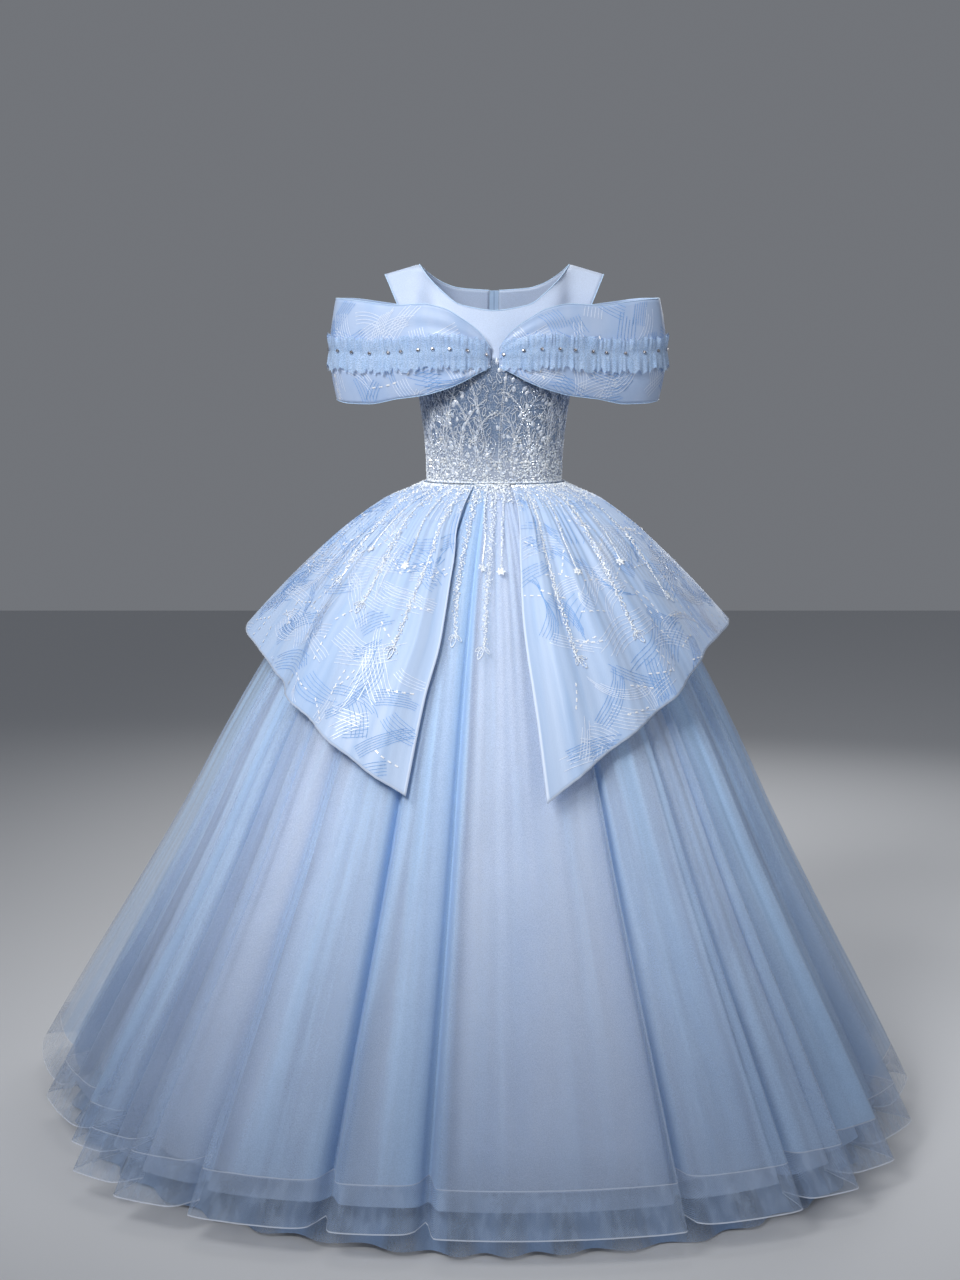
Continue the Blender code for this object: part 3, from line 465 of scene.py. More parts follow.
satin_finish, tree = new_finish("pale_satin", Roughness=0.42, Sheen_Weight=0.15)
shade = ramp(tree, gather_lines(tree, 40.0), 0.35, 0.7)
ground = blend_colours(tree, shade, (0.70, 0.77, 0.91), (0.54, 0.68, 0.92))
# painted shade darkens the satin's colour towards the hem
into_shader(tree, Base_Color=painted_shade_to_the_hem(tree, ground),
            Normal=relief(tree, 0.12, 0.001, fibres(tree, 700.0)[0]))
satin_turns = np.linspace(-180, 180, 481)[:-1]
satin_drops = np.concatenate([np.linspace(0.006, 0.12, 12), np.linspace(0.14, 1.060, 16)])
points = layer(satin_turns[None, :], satin_drops[:, None], 0.10, 0.020)
satin = cloth_piece("satin_underskirt", points, (satin_turns + 180) / 360, satin_drops / HEM_DROP,
                    satin_finish, "underskirt", closed=True, wall=0.0012)

# Petticoat: a flounce of stiff net gathered inside the underskirt, which holds the hem out
# and shows as soft grey-blue points just above the floor.
FLOUNCE_TOP, PETTICOAT_DROP = 0.845, 1.145
# through tulle_finish, painted shade also darkens the net towards its foot
NET = tulle_finish("petticoat_net", (0.28, 0.38, 0.54), (0.14, 0.24, 0.42), 0.45, 0.85, 260.0)
net_turns = np.linspace(-180, 180, 1153)[:-1]
turn, share = net_turns[None, :], np.linspace(0, 1, 15)[:, None]
drop = FLOUNCE_TOP + (PETTICOAT_DROP - FLOUNCE_TOP) * share
t = np.radians(turn)
ruffle = np.sin(48 * t + 1.2 * np.sin(5 * t) + 0.8 * np.sin(11 * t))
radius = skirt_radius(turn, curve(VALLEY_ROWS, turn), drop) - 0.034 + 0.024 * share ** 2
radius = np.minimum(radius, 0.783 * drop / PETTICOAT_DROP) + ruffle * 0.009 * share
raised = 0.006 * share * (1 + np.sin(9 * t + 1.0) * np.sin(4 * t))
raised = raised * (1 - 0.3 * np.clip(np.sin(t * 0.5 + 1.6), 0, 1))
points = polar(turn, radius, np.maximum(raised - drop, -PETTICOAT_DROP))
net = cloth_piece("net_flounce", points, (net_turns + 180) / 360, share[:, 0], NET, "petticoat",
                  closed=True, bunch=0.5 - 0.5 * ruffle + 0 * drop)

# Overskirt: two pointed front petals and two plainer back ones, cut from stiff glitter tulle and
# gathered with the skirt into the waist seam, so that soft folds fan out from it.
PETAL_HEM = {  # turn from centre front or back, drop of the hem
    "L": ((17.2, 0.488), (24.0, 0.456), (32.0, 0.420), (40.5, 0.380), (64.0, 0.312), (90.0, 0.266)),
    "R": ((9.5, 0.496), (15.5, 0.460), (22.5, 0.424), (38.0, 0.360), (64.5, 0.280), (90.0, 0.258)),
}
PETAL_EDGE = {  # share of the way down, turn of the inner edge
    "front_L": ((0.0, 20.0), (0.12, 19.0), (0.25, 16.0), (0.50, 15.0), (0.70, 16.5), (1.0, 17.2)),
    "front_R": ((0.0, 16.0), (0.07, 14.0), (0.25, 9.5), (0.45, 8.0), (0.75, 9.0), (1.0, 9.5)),
    "back_L": ((0.0, 9.0), (0.5, 10.0), (1.0, 14.0)),
    "back_R": ((0.0, 9.0), (0.5, 10.0), (1.0, 14.0)),
}
PETAL_CORNER = {"L": 0.456, "R": 0.434}
# petal, place across at the waist and at the hem, how far down it starts and ends, height in
# mm of the soft ridge, half width as a share of the petal
PETAL_FOLDS = (
    ("front_L", 0.10, 0.05, 0.0, 0.9, 5.0, 0.030), ("front_L", 0.22, 0.17, 0.0, 1.0, 7.0, 0.045),
    ("front_L", 0.36, 0.34, 0.0, 0.8, 5.0, 0.030), ("front_L", 0.47, 0.52, 0.1, 1.0, 8.0, 0.050),
    ("front_L", 0.62, 0.68, 0.0, 0.9, 6.0, 0.035), ("front_L", 0.78, 0.86, 0.0, 1.0, 8.0, 0.050),
    ("front_R", 0.08, 0.12, 0.0, 0.8, 5.0, 0.030), ("front_R", 0.20, 0.26, 0.0, 1.0, 7.0, 0.040),
    ("front_R", 0.33, 0.41, 0.0, 0.9, 5.0, 0.030), ("front_R", 0.48, 0.55, 0.0, 1.0, 8.0, 0.045),
    ("front_R", 0.66, 0.72, 0.1, 0.9, 6.0, 0.035), ("front_R", 0.82, 0.88, 0.0, 1.0, 7.0, 0.045),
    ("back_L", 0.15, 0.12, 0.0, 1.0, 7.0, 0.045), ("back_L", 0.42, 0.45, 0.0, 0.9, 6.0, 0.050),
    ("back_L", 0.70, 0.76, 0.0, 1.0, 7.0, 0.045), ("back_R", 0.18, 0.13, 0.0, 1.0, 6.0, 0.045),
    ("back_R", 0.45, 0.50, 0.0, 1.0, 7.0, 0.050), ("back_R", 0.74, 0.80, 0.0, 0.9, 6.0, 0.045),
)


def above_the_skirt(turn, crest, drop, lift):
    """A point lifted off the skirt's crests along their own slope."""
    above, below = np.maximum(drop - 0.004, 0), drop + 0.004
    rise, run = skirt_radius(turn, crest, below) - skirt_radius(turn, crest, above), below - above
    size = np.hypot(run, rise)
    return skirt_radius(turn, crest, drop) + lift * run / size, -drop + lift * rise / size


def petal_points(side, name, across, down):
    """Points of one petal: close on the crests at its inner edge, standing out at its side."""
    sign, hem = (-1 if side == "L" else 1), PETAL_HEM[side]
    start = curve(PETAL_EDGE[name], down)
    turn = start + (90 - start) * across
    hem_drop = curve(hem, hem[0][0] + (90 - hem[0][0]) * across)
    drop = 0.004 + (hem_drop - 0.004) * down
    body_turn = turn if name.startswith("front") else 180 - turn
    crest = curve(CREST_ROWS, sign * body_turn)
    radius, height = above_the_skirt(body_turn, crest, drop, 0.0018)
    corner_drop = hem[-1][1]
    corner_gap = PETAL_CORNER[side] - skirt_radius(90 * sign, curve(CREST_ROWS, 90 * sign), corner_drop)
    side_lift = 0.018 + (corner_gap - 0.018) * np.minimum(drop / corner_drop, 1.15)
    lift = 0.006 + (side_lift - 0.006) * across ** 1.6
    grown = np.clip(drop / 0.035, 0, 1)
    grown = grown * grown * (3 - 2 * grown)
    waves = 6 if "front" in name else 4
    flute = 0.0035 * (1 - np.cos(2 * math.pi * waves * across)) * np.clip(3 * down, 0, 1)
    for which, top, foot, first, last, tall, wide in PETAL_FOLDS:
        if which == name:
            along = np.clip((down - first) / (last - first), 0, 1)
            off = (across - top - (foot - top) * along) / (wide * (0.45 + 0.9 * along))
            flute = flute + 0.001 * tall * np.exp(-off ** 2) * np.sin(math.pi * along ** 0.6) ** 0.6
    fine = 1 + np.sin(2 * math.pi * (31 * across + 0.6 * np.sin(9 * across) + 0.3 * np.sin(23 * across)))
    flute = flute + 0.0016 * fine * np.exp(-(drop / 0.13) ** 2) + 0.0004 * fine
    calm = np.clip((down - 0.3) / 0.5, 0, 1) * np.clip((across - 0.35) / 0.35, 0, 1)
    flute = flute * np.clip(across / 0.08, 0.15, 1) * (1 - 0.8 * calm)
    radius = radius + grown * (lift + flute)
    return polar(body_turn, radius, height) * np.array([sign, 1, 1])


def facing(points):
    """Outward normals of a grid of points."""
    normals = np.cross(*np.gradient(points, axis=(1, 0)))
    normals /= np.linalg.norm(normals, axis=-1, keepdims=True) + 1e-12
    return normals if (normals * points)[..., :2].sum() > 0 else -normals


def glitter_finish(name, colour, deep, lines):
    """Stiff pale tulle with a soft uneven ground and a bright narrow rolled edge."""
    material, tree = new_finish(name, Roughness=0.5, Sheen_Weight=0.3, Sheen_Roughness=0.4)
    thread, uneven = fibres(tree, 480.0)
    line = gather_lines(tree, lines)
    shade = sums(tree, "ADD", ramp(tree, line, 0.35, 0.72), ramp(tree, uneven, 0.42, 0.62, -0.08, 0.08))
    shade = sums(tree, "MINIMUM", sums(tree, "MAXIMUM", shade, 0.0), 1.0)
    ground = blend_colours(tree, shade, colour, deep)
    across, down = on_cloth(tree)
    edge = sums(tree, "MAXIMUM", ramp(tree, down, 0.991, 0.994), ramp(tree, across, 0.009, 0.006))
    height = sums(tree, "ADD", sums(tree, "MULTIPLY", line, 0.6), sums(tree, "MULTIPLY", thread, 0.4))
    into_shader(tree, Base_Color=blend_colours(tree, edge, ground, (0.60, 0.70, 0.88)),
                Normal=relief(tree, 0.3, 0.0015, height))
    return material


GLITTER_TULLE = glitter_finish("glitter_tulle", (0.44, 0.56, 0.77), (0.37, 0.51, 0.75), 26.0)
CLOTHS = {}  # cloths that beads and threads are sewn to: their grids of points and of normals
for side in "LR":
    for half, rows, columns in (("front", 90, 150), ("back", 60, 100)):
        name = half + "_" + side
        across, down = np.linspace(0, 1, columns)[None, :], (np.linspace(0, 1, rows) ** 1.2)[:, None]
        points = petal_points(side, name, across, down)
        kept = np.r_[0:rows - 1:2, rows - 1]
        petal = cloth_piece("petal_" + name, points[kept], across[0], down[kept, 0],
                            GLITTER_TULLE, "overskirt_" + name, wall=0.0009)
        CLOTHS[name] = (points, facing(points))


# Line embroidery on the overskirt: loose sheaves of curved silver-white and blue threads with
# short dashes of white sequins between them, scattered in no set order.


def two_tone(name, scale, low, high, first, second, **sockets):
    """A finish of two colours that mingle as its fine thread rises between two levels."""
    material, tree = new_finish(name, **sockets)
    tone = ramp(tree, fibres(tree, scale)[0], low, high)
    into_shader(tree, Base_Color=blend_colours(tree, tone, first, second))
    return material


SILVER_LINE = two_tone("silver_thread", 900.0, 0.35, 0.65, (0.58, 0.68, 0.86), (0.74, 0.81, 0.94),
                       Roughness=0.3)
WHITE_DASH = two_tone("white_sequins", 600.0, 0.38, 0.56, (0.62, 0.70, 0.84), (1.0, 1.0, 1.0),
                      Roughness=0.15, Coat_Weight=0.6)
BLUE_LINE = two_tone("blue_thread", 900.0, 0.35, 0.65, (0.14, 0.30, 0.62), (0.26, 0.46, 0.80),
                     Roughness=0.6, Sheen_Weight=0.1)


def at_place(grid, row, column):
    """A grid of points read between its rows and columns."""
    row = np.clip(row, 0, grid.shape[0] - 1.001)
    column = np.clip(column, 0, grid.shape[1] - 1.001)
    i, j = row.astype(int), column.astype(int)
    v, u = (row - i)[..., None], (column - j)[..., None]
    upper = grid[i, j] * (1 - u) + grid[i, j + 1] * u
    return upper * (1 - v) + (grid[i + 1, j] * (1 - u) + grid[i + 1, j + 1] * u) * v


def lie(steps, row, column):
    """The steps across and down a cloth's grid at many places, and two square directions there."""
    a, d = (at_place(grid, row, column) for grid in steps)
    e1 = a / np.linalg.norm(a, axis=-1, keepdims=True)
    e2 = d - (d * e1).sum(-1, keepdims=True) * e1
    return a, d, e1, e2 / np.linalg.norm(e2, axis=-1, keepdims=True)


def walked(cloth, row, column, heading, bend, length, steps=14):
    """Rows and columns of lines that follow a cloth, each with its heading, bend and length in m."""
    grids = np.gradient(cloth[0], axis=(1, 0))
    row, column, heading = (np.array(a, float) for a in (row, column, heading))
    track = [(row, column)]
    for _ in range(steps):
        a, d, e1, e2 = lie(grids, row, column)
        want = np.cos(heading)[:, None] * e1 + np.sin(heading)[:, None] * e2
        aa, ad, dd = (a * a).sum(-1), (a * d).sum(-1), (d * d).sum(-1)
        wa, wd = (want * a).sum(-1), (want * d).sum(-1)
        step = length / steps
        column = column + step * (wa * dd - wd * ad) / (aa * dd - ad * ad)
        row = row + step * (wd * aa - wa * ad) / (aa * dd - ad * ad)
        heading = heading + bend * step
        track.append((row, column))
    return tuple(np.stack(places, 1) for places in zip(*track))


def drawn_lines(cloth, rows, columns, width, lift):
    """Flat threads along tracks on a cloth, as points and faces; they stop at its edges."""
    points, normals = cloth
    path = at_place(points, rows, columns) + lift * at_place(normals, rows, columns)
    high, wide = points.shape[:2]
    on = (rows > 0.5) & (rows < high - 1.6) & (columns > 0.5) & (columns < wide - 1.6)
    side = np.cross(at_place(normals, rows, columns), np.gradient(path, axis=1))
    side *= width / 2 / (np.linalg.norm(side, axis=-1, keepdims=True) + 1e-12)
    verts = np.stack([path - side, path + side], 2).reshape(-1, 3)
    n, k = np.nonzero(on[:, :-1] & on[:, 1:])
    first = (n * rows.shape[1] + k) * 2
    return verts, np.stack([first, first + 2, first + 3, first + 1], -1)


def joined(name, parts, finish):
    """One piece from several lists of points and faces, without the points that no face uses."""
    verts, faces, start = [], [], 0
    for part_verts, part_faces in parts:
        verts.append(part_verts)
        faces += (part_faces + start).tolist()
        start += len(part_verts)
    mesh = bpy.data.meshes.new(name)
    mesh.from_pydata(np.concatenate(verts).tolist(), [], faces)
    mesh.update()
    piece = placed(name, mesh)
    bpy.ops.object.mode_set(mode="EDIT")
    bpy.ops.mesh.select_all(action="SELECT")
    bpy.ops.mesh.delete_loose()
    bpy.ops.object.mode_set(mode="OBJECT")
    dressed(piece, finish)


def sheaves(cloth, dice, count, length):
    """Starts and headings of sheaves of parallel curved lines scattered over a cloth."""
    rows, columns = cloth[0].shape[:2]
    out = []
    for _ in range(count):
        row, column = dice.uniform(0.06, 0.98) ** 0.8 * rows, dice.uniform(0.03, 0.99) * columns
        heading, bend = dice.uniform(0, 2 * math.pi), dice.choice((-1, 1)) * dice.uniform(2, 14)
        reach, apart = dice.uniform(*length), dice.uniform(0.0045, 0.0070)
        for k in range(dice.randint(4, 7)):
            out.append((row, column, heading, bend, reach * dice.uniform(0.75, 1.1), k * apart))
    row, column, heading, bend, reach, aside = np.array(out).T
    rows, columns = walked(cloth, row, column, heading + math.pi / 2, 0.0, aside, 4)
    return rows[:, -1], columns[:, -1], heading, bend, reach


def embroider(name, cloth, seed, silver, blue, dashes, length):
    """Threads and sequin dashes on one piece of cloth, as three joined pieces."""
    dice = random.Random(seed)
    high, wide = cloth[0].shape[:2]
    silver_tracks = walked(cloth, *sheaves(cloth, dice, silver, length))
    starts = [(dice.uniform(0.25, 0.97) * high, dice.uniform(0.03, 0.97) * wide,
               dice.uniform(0, 6.3), dice.uniform(-12, 12)) for _ in range(dashes)]
    blue_tracks = walked(cloth, *sheaves(cloth, dice, blue, length))
    rows, columns = walked(cloth, *np.array(starts).T, 0.055, 16)
    stitched = [drawn_lines(cloth, rows[:, n:n + 3], columns[:, n:n + 3], 0.0026, 0.0010)
                for n in (0, 4, 8, 12)]
    joined("dashes_" + name, stitched, WHITE_DASH)
    for colour, tracks, width, finish in (
            ("silver", silver_tracks, 0.0013, SILVER_LINE), ("blue", blue_tracks, 0.0010, BLUE_LINE)):
        threads = drawn_lines(cloth, *tracks, width, 0.0005)
        joined(f"{colour}_{name}", [threads], finish)


for seed, (name, cloth) in enumerate(CLOTHS.items()):
    plenty = 1.0 if "front" in name else 0.75
    counts = [int(count * plenty) for count in (48, 44, 40)]
    embroider("threads_" + name, cloth, seed, *counts, (0.04, 0.13))

# Bodice: five boned panels of satin under beaded lace, cut close to the figure; the backs meet
# at the zip. The lace is a generic one of vines, leaves, sprays and small flowers.
# height above the waist, half width there, and depth in front and behind
TORSO = (
    (0.00, 0.122, 0.098, 0.084), (0.05, 0.124, 0.101, 0.087), (0.10, 0.129, 0.109, 0.091),
    (0.15, 0.136, 0.118, 0.096), (0.19, 0.143, 0.124, 0.099), (0.22, 0.147, 0.124, 0.101),
)


def torso(turn, height):
    """Points of the fitted body by turn from centre front and height above the waist."""
    across, ahead = np.sin(np.radians(turn)), np.cos(np.radians(turn))
    half_width, front, back = curves(TORSO, height)
    depth = np.where(ahead > 0, front, back)
    across, ahead = (np.sign(a) * abs(a) ** (2 / SQUARENESS) for a in (across, ahead))
    return np.stack(np.broadcast_arrays(half_width * across, -depth * ahead, height), -1)


LACE_GROUND, tree = new_finish("lace_ground", Roughness=0.45, Sheen_Weight=0.15)
place = tree.nodes.new("ShaderNodeTexCoord").outputs["Object"]
cells = wire(tree, "ShaderNodeTexVoronoi", {"Vector": place, "Scale": 210.0}, feature="DISTANCE_TO_EDGE")
netting = ramp(tree, cells.outputs["Distance"], 0.10, 0.04)
uneven = ramp(tree, fibres(tree, 700.0)[1], 0.4, 0.6)
ground = blend_colours(tree, uneven, (0.10, 0.16, 0.27), (0.17, 0.25, 0.39))
ground = blend_colours(tree, ramp(tree, on_cloth(tree)[1], 0.42, 0.06), ground, (0.38, 0.43, 0.54))
ground = blend_colours(tree, sums(tree, "MULTIPLY", netting, 0.45), ground, (0.44, 0.50, 0.62))
into_shader(tree, Base_Color=ground, Normal=relief(tree, 0.4, 0.001, netting))
BODICE_HEIGHT = 0.22
BODICE_HEIGHTS = np.linspace(0.0002, 0.2198, 45)
PANELS = {  # turns from centre front where each panel starts and ends
    "back_L": (-178, -104), "side_L": (-104, -42), "front": (-42, 42),
    "side_R": (42, 104), "back_R": (104, 178),
}
for panel, (left, right) in PANELS.items():
    turns = np.linspace(left + 0.08, right - 0.08, int((right - left) / 1.5))
    points = torso(turns[None, :], BODICE_HEIGHTS[:, None])
    across = (turns - left) / (right - left)
    seam_dip = 0.0005 * np.exp(-(np.minimum(across, 1 - across) / 0.02) ** 2)
    points = points - facing(points) * seam_dip[None, :, None]
    lace = cloth_piece("lace_" + panel, points, turns / 360, BODICE_HEIGHTS / BODICE_HEIGHT,
                       LACE_GROUND, "bodice_" + panel, wall=0.0015)
    width = 0.0024 * (right - left)  # 2.4 mm of cloth for each degree
points = torso(np.linspace(-176, 176, 353)[None, :], BODICE_HEIGHTS[:, None])
BODICE = (points, facing(points))

# Beaded lace on the bodice: silver vines with leaves and beads, sprays, a dense beaded edge at
# the waist, and crystal flowers; every bead, leaf and crystal is modelled once and repeated.
BEAD_SILVER = two_tone("silver_bead", 260.0, 0.40, 0.60, (0.62, 0.68, 0.78), (0.98, 0.99, 1.0),
                       Roughness=0.18, Metallic=0.55)
BEAD_WHITE = two_tone("white_bead", 330.0, 0.38, 0.52, (0.46, 0.54, 0.70), (0.94, 0.98, 1.0),
                      Roughness=0.2, Coat_Weight=0.4)
LACE_SILVER = two_tone("silver_lace", 320.0, 0.38, 0.62, (0.46, 0.54, 0.68), (0.90, 0.93, 0.98),
                       Roughness=0.40, Metallic=0.20)
CRYSTAL = two_tone("crystal", 400.0, 0.42, 0.58, (0.70, 0.78, 0.88), (1.0, 1.0, 1.0),
                   Roughness=0.06, Metallic=0.35, Coat_Weight=1.0)


def taken(piece):
    """The points and triangles of a modelled piece, which is then removed."""
    alone(piece)
    bpy.ops.object.mode_set(mode="EDIT")
    bpy.ops.mesh.select_all(action="SELECT")
    bpy.ops.mesh.remove_doubles(threshold=0.0001)
    bpy.ops.mesh.quads_convert_to_tris()
    bpy.ops.object.mode_set(mode="OBJECT")
    verts = np.array([v.co for v in piece.data.vertices], float)
    faces = np.array([list(f.vertices) for f in piece.data.polygons])
    bpy.data.objects.remove(piece)
    return verts, faces


bpy.ops.mesh.primitive_cone_add(vertices=6, radius1=1.0, depth=1.0, end_fill_type="TRIFAN")
bead = bpy.context.object
for v in bead.data.vertices:
    v.co.z = 0.0 if math.hypot(v.co.x, v.co.y) > 0.5 else 1.7 * v.co.z
BEAD = taken(bead)

bpy.ops.mesh.primitive_uv_sphere_add(segments=8, ring_count=4, radius=1.0)
bpy.ops.transform.resize(value=(1, 1, 0.55))
bpy.ops.object.transform_apply(location=True, rotation=True, scale=True)
GEM = taken(bpy.context.object)

bpy.ops.mesh.primitive_grid_add(x_subdivisions=6, y_subdivisions=4, size=2.0)
leaf = bpy.context.object
for v in leaf.data.vertices:
    along = (v.co.x + 1) / 2
    width = 0.30 * math.sin(math.pi * along ** 0.8) ** 0.8
    v.co = (along, v.co.y * width, 0.10 * math.sin(math.pi * along) * (1 - v.co.y ** 2))
LEAF = taken(leaf)

bpy.ops.mesh.primitive_circle_add(vertices=14, radius=1.0, fill_type="NGON")
leaf = bpy.context.object
for v in leaf.data.vertices:
    v.co.y *= 0.38 * abs(v.co.y) ** 0.35
bpy.ops.object.mode_set(mode="EDIT")
bpy.ops.mesh.select_all(action="SELECT")
bpy.ops.mesh.inset(thickness=0.095)
bpy.ops.mesh.delete(type="FACE")
bpy.ops.mesh.select_all(action="SELECT")
bpy.ops.mesh.extrude_region_move(TRANSFORM_OT_translate={"value": (0, 0, 0.09)})
bpy.ops.object.mode_set(mode="OBJECT")
OUTLINED_LEAF = taken(leaf)


def sewn_on(form, cloth, rows, columns, headings, sizes, lift):
    """Copies of a small form on a cloth, each turned to its heading and made to its size."""
    points, normals = cloth
    shape, faces = form
    n = at_place(normals, rows, columns)
    _, _, e1, e2 = lie(np.gradient(points, axis=(1, 0)), rows, columns)
    cos, sin = np.cos(headings)[:, None], np.sin(headings)[:, None]
    ahead, side = cos * e1 + sin * e2, -sin * e1 + cos * e2
    side = side * np.sign((np.cross(ahead, side) * n).sum(-1, keepdims=True))
    sizes = np.broadcast_to(np.asarray(sizes, float), rows.shape)
    base = at_place(points, rows, columns) + n * lift
    verts = base[:, None] + sizes[:, None, None] * (
        shape[None, :, 0:1] * ahead[:, None] + shape[None, :, 1:2] * side[:, None]
        + shape[None, :, 2:3] * n[:, None])
    shifted = faces[None] + (np.arange(len(rows)) * len(shape))[:, None, None]
    return verts.reshape(-1, 3), shifted.reshape(-1, 3)


# turn and height where a vine starts, its lean from upright, its bend per metre and its length
VINES = (
    (3, 0.012, 1, 1, 0.185), (9, 0.030, 30, -14, 0.110), (13, 0.012, -6, 5, 0.195),
    (20, 0.020, 24, -9, 0.150), (27, 0.014, 2, 3, 0.190), (34, 0.030, 34, -12, 0.120),
    (41, 0.012, 8, -3, 0.185), (50, 0.020, -14, 6, 0.160), (58, 0.012, 16, -6, 0.170),
    (68, 0.015, -6, 2, 0.160), (80, 0.012, 10, -4, 0.150), (94, 0.015, -8, 4, 0.150),
    (112, 0.012, 6, -3, 0.150), (134, 0.012, -6, 3, 0.150), (158, 0.012, 4, -2, 0.150),
)
# turn and height of a fan of fine beaded lines, and its lean, alike on both sides
SPRAYS = ((26, 0.056, 22), (44, 0.108, 30), (60, 0.060, 26), (78, 0.105, 14))
# rows of set crystal flowers: height, degrees apart, half the row's spread, reach of a flower
FLOWER_ROWS = ((0.034, 22, 66, 0.0094), (0.078, 30, 45, 0.0070), (0.124, 34, 34, 0.0062))
# metres between the rows and between the columns of the bodice's grid, and the rows that an
# outlined leaf, a bead and a vine stay below
ROW, COLUMN = 0.0050, 0.0022
LEAF_TOP, BEAD_TOP, VINE_TOP = 41.0, 42.8, 43.0


def bodice_place(turn, height):
    """Row and column of the bodice's grid at a turn and a height above the waist."""
    return (np.asarray(height, float) - 0.0002) / 0.2196 * 44, np.asarray(turn, float) + 176


def upright(lean):
    """Heading of a line that leans from upright towards the wearer's left side of the picture."""
    return math.radians(90 - lean)


def strewn(name, form, places, lift, finish):
    """One piece of many small forms, given as rows of (row, column, size) on the bodice."""
    rows, columns, sizes = np.array(places, float).T
    joined(name, [sewn_on(form, BODICE, rows, columns, rows, sizes, lift)], finish)


dice = random.Random(11)
vine_table, vine_parts, beads, leaves, outlines, gems, waist_beads = [], [], [], [], [], [], []
for turn, height, lean, bend, length in VINES:
    for side in (-1, 1):
        place = bodice_place(side * turn + dice.uniform(-1.5, 1.5), height + dice.uniform(0, 0.008))
        heading = upright(side * (lean + dice.uniform(-5, 5)))
        vine_table.append((*place, heading, -side * bend, length * dice.uniform(0.9, 1.08)))
rows, columns = walked(BODICE, *np.array(vine_table).T, steps=48)
rows = np.clip(rows, 0.5, VINE_TOP)
for side in (-1, 1):
    shift = side * np.linspace(1.0, 0.3, 49)
    vine_parts.append(drawn_lines(BODICE, rows, columns + shift, 0.0010, 0.0007))
for row, column in zip(rows, columns):
    rise = np.arctan2(np.gradient(row) * ROW, np.gradient(column) * COLUMN)
    for k in range(4, 48, 5):
        hand = 1 if k % 2 else -1
        if row[k] < LEAF_TOP:
            outlines.append((row[k] + 1.0, column[k] + 3.4 * hand,
                             rise[k] - hand * dice.uniform(0.35, 0.75), dice.uniform(0.0078, 0.0108)))
    for k in range(1, 48):
        if row[k] < BEAD_TOP:
            beads.append((row[k], column[k], dice.uniform(0.0008, 0.0012)))
for turn, height, lean in SPRAYS:
    for side, spoke in [(side, spoke) for side in (-1, 1) for spoke in range(-3, 4)]:
        row, column = bodice_place(side * turn, height)
        heading, reach = upright(side * lean + 13 * spoke), dice.uniform(0.030, 0.042)
        rows, columns = walked(BODICE, [row], [column], [heading], -1.5 * spoke, reach)
        vine_parts.append(drawn_lines(BODICE, rows, columns, 0.0009, 0.0006))
        for row, column in zip(rows[0, 1:], columns[0, 1:]):
            if 0 < row < BEAD_TOP:
                beads.append((row, column, dice.uniform(0.0006, 0.0010)))
taken_places = [(column * COLUMN, row * ROW) for row, column, _, _ in outlines]
for _ in range(5200):
    turn, height = dice.uniform(-172, 172), dice.uniform(0.010, 0.216)
    row, column = bodice_place(turn, height)
    wanted = 1.0 if abs(turn) < 42 else 0.6
    here = (column * COLUMN, row * ROW)
    if dice.random() < wanted and min(math.dist(here, place) for place in taken_places) > 0.0078:
        taken_places.append(here)
        leaf = (row, column, upright(turn * 0.35 + dice.uniform(-50, 50)), dice.uniform(0.0058, 0.0086))
        (outlines if dice.random() < 0.55 else leaves).append(leaf)
for _ in range(1100):
    place = bodice_place(dice.gauss(0, 52), 0.206 * dice.random() ** 1.2 + 0.004)
    beads.append((*place, dice.uniform(0.0006, 0.0012)))
for _ in range(4300):
    place = bodice_place(dice.uniform(-174, 174), 0.001 + 0.075 * dice.random() ** 3.0)
    waist_beads.append((*place, dice.uniform(0.0010, 0.0017)))
for height, apart, spread, reach in FLOWER_ROWS:
    for turn in np.arange(-spread, spread + 1, apart):
        row, column = bodice_place(turn, height + dice.uniform(-0.004, 0.004))
        gems.append((row, column, reach * 0.42))
        for k in range(6):
            gems.append((row + math.sin(k * math.pi / 3) * reach * 0.72 / ROW,
                         column + math.cos(k * math.pi / 3) * reach * 0.72 / COLUMN, reach * 0.27))
for _ in range(44):
    place = bodice_place(dice.gauss(0, 45), 0.19 * dice.random() ** 1.4 + 0.004)
    gems.append((*place, dice.uniform(0.0012, 0.0019)))
for n in range(460):
    row, column = 0.05 + 0.45 * dice.random(), 4 + 344 * (n + dice.random()) / 460
    waist_beads.append((row, column, dice.uniform(0.0014, 0.0020)))
joined("lace_vines", vine_parts, LACE_SILVER)
leaf_parts = []
for form, places, stretch, lift in ((LEAF, leaves, 1.6, 0.0005), (OUTLINED_LEAF, outlines, 1.0, 0.0004)):
    rows, columns, headings, sizes = np.array(places, float).T
    leaf_parts.append(sewn_on(form, BODICE, rows, columns, headings, stretch * sizes, lift))
joined("lace_leaves", leaf_parts, LACE_SILVER)
strewn("lace_beads", BEAD, [place for place in beads if 2 < place[1] < 350], 0.0008, BEAD_SILVER)
strewn("waist_beads", BEAD, waist_beads, 0.0010, BEAD_WHITE)
strewn("lace_crystals", GEM, gems, 0.0016, CRYSTAL)

# Streamers: chains of silver beads that fall from the waist over the overskirt and the front of
# the skirt, long and short in turn. A long one ends in a spray of leaves and a short one in a
# small flower, and beads are scattered thickly just below the waist.
turns, drops = np.linspace(-40, 40, 321), np.linspace(0, 0.5, 301)
points = layer(turns[None, :], drops[:, None], 1.0, 0.0)
CLOTHS["front"] = (points, facing(points))
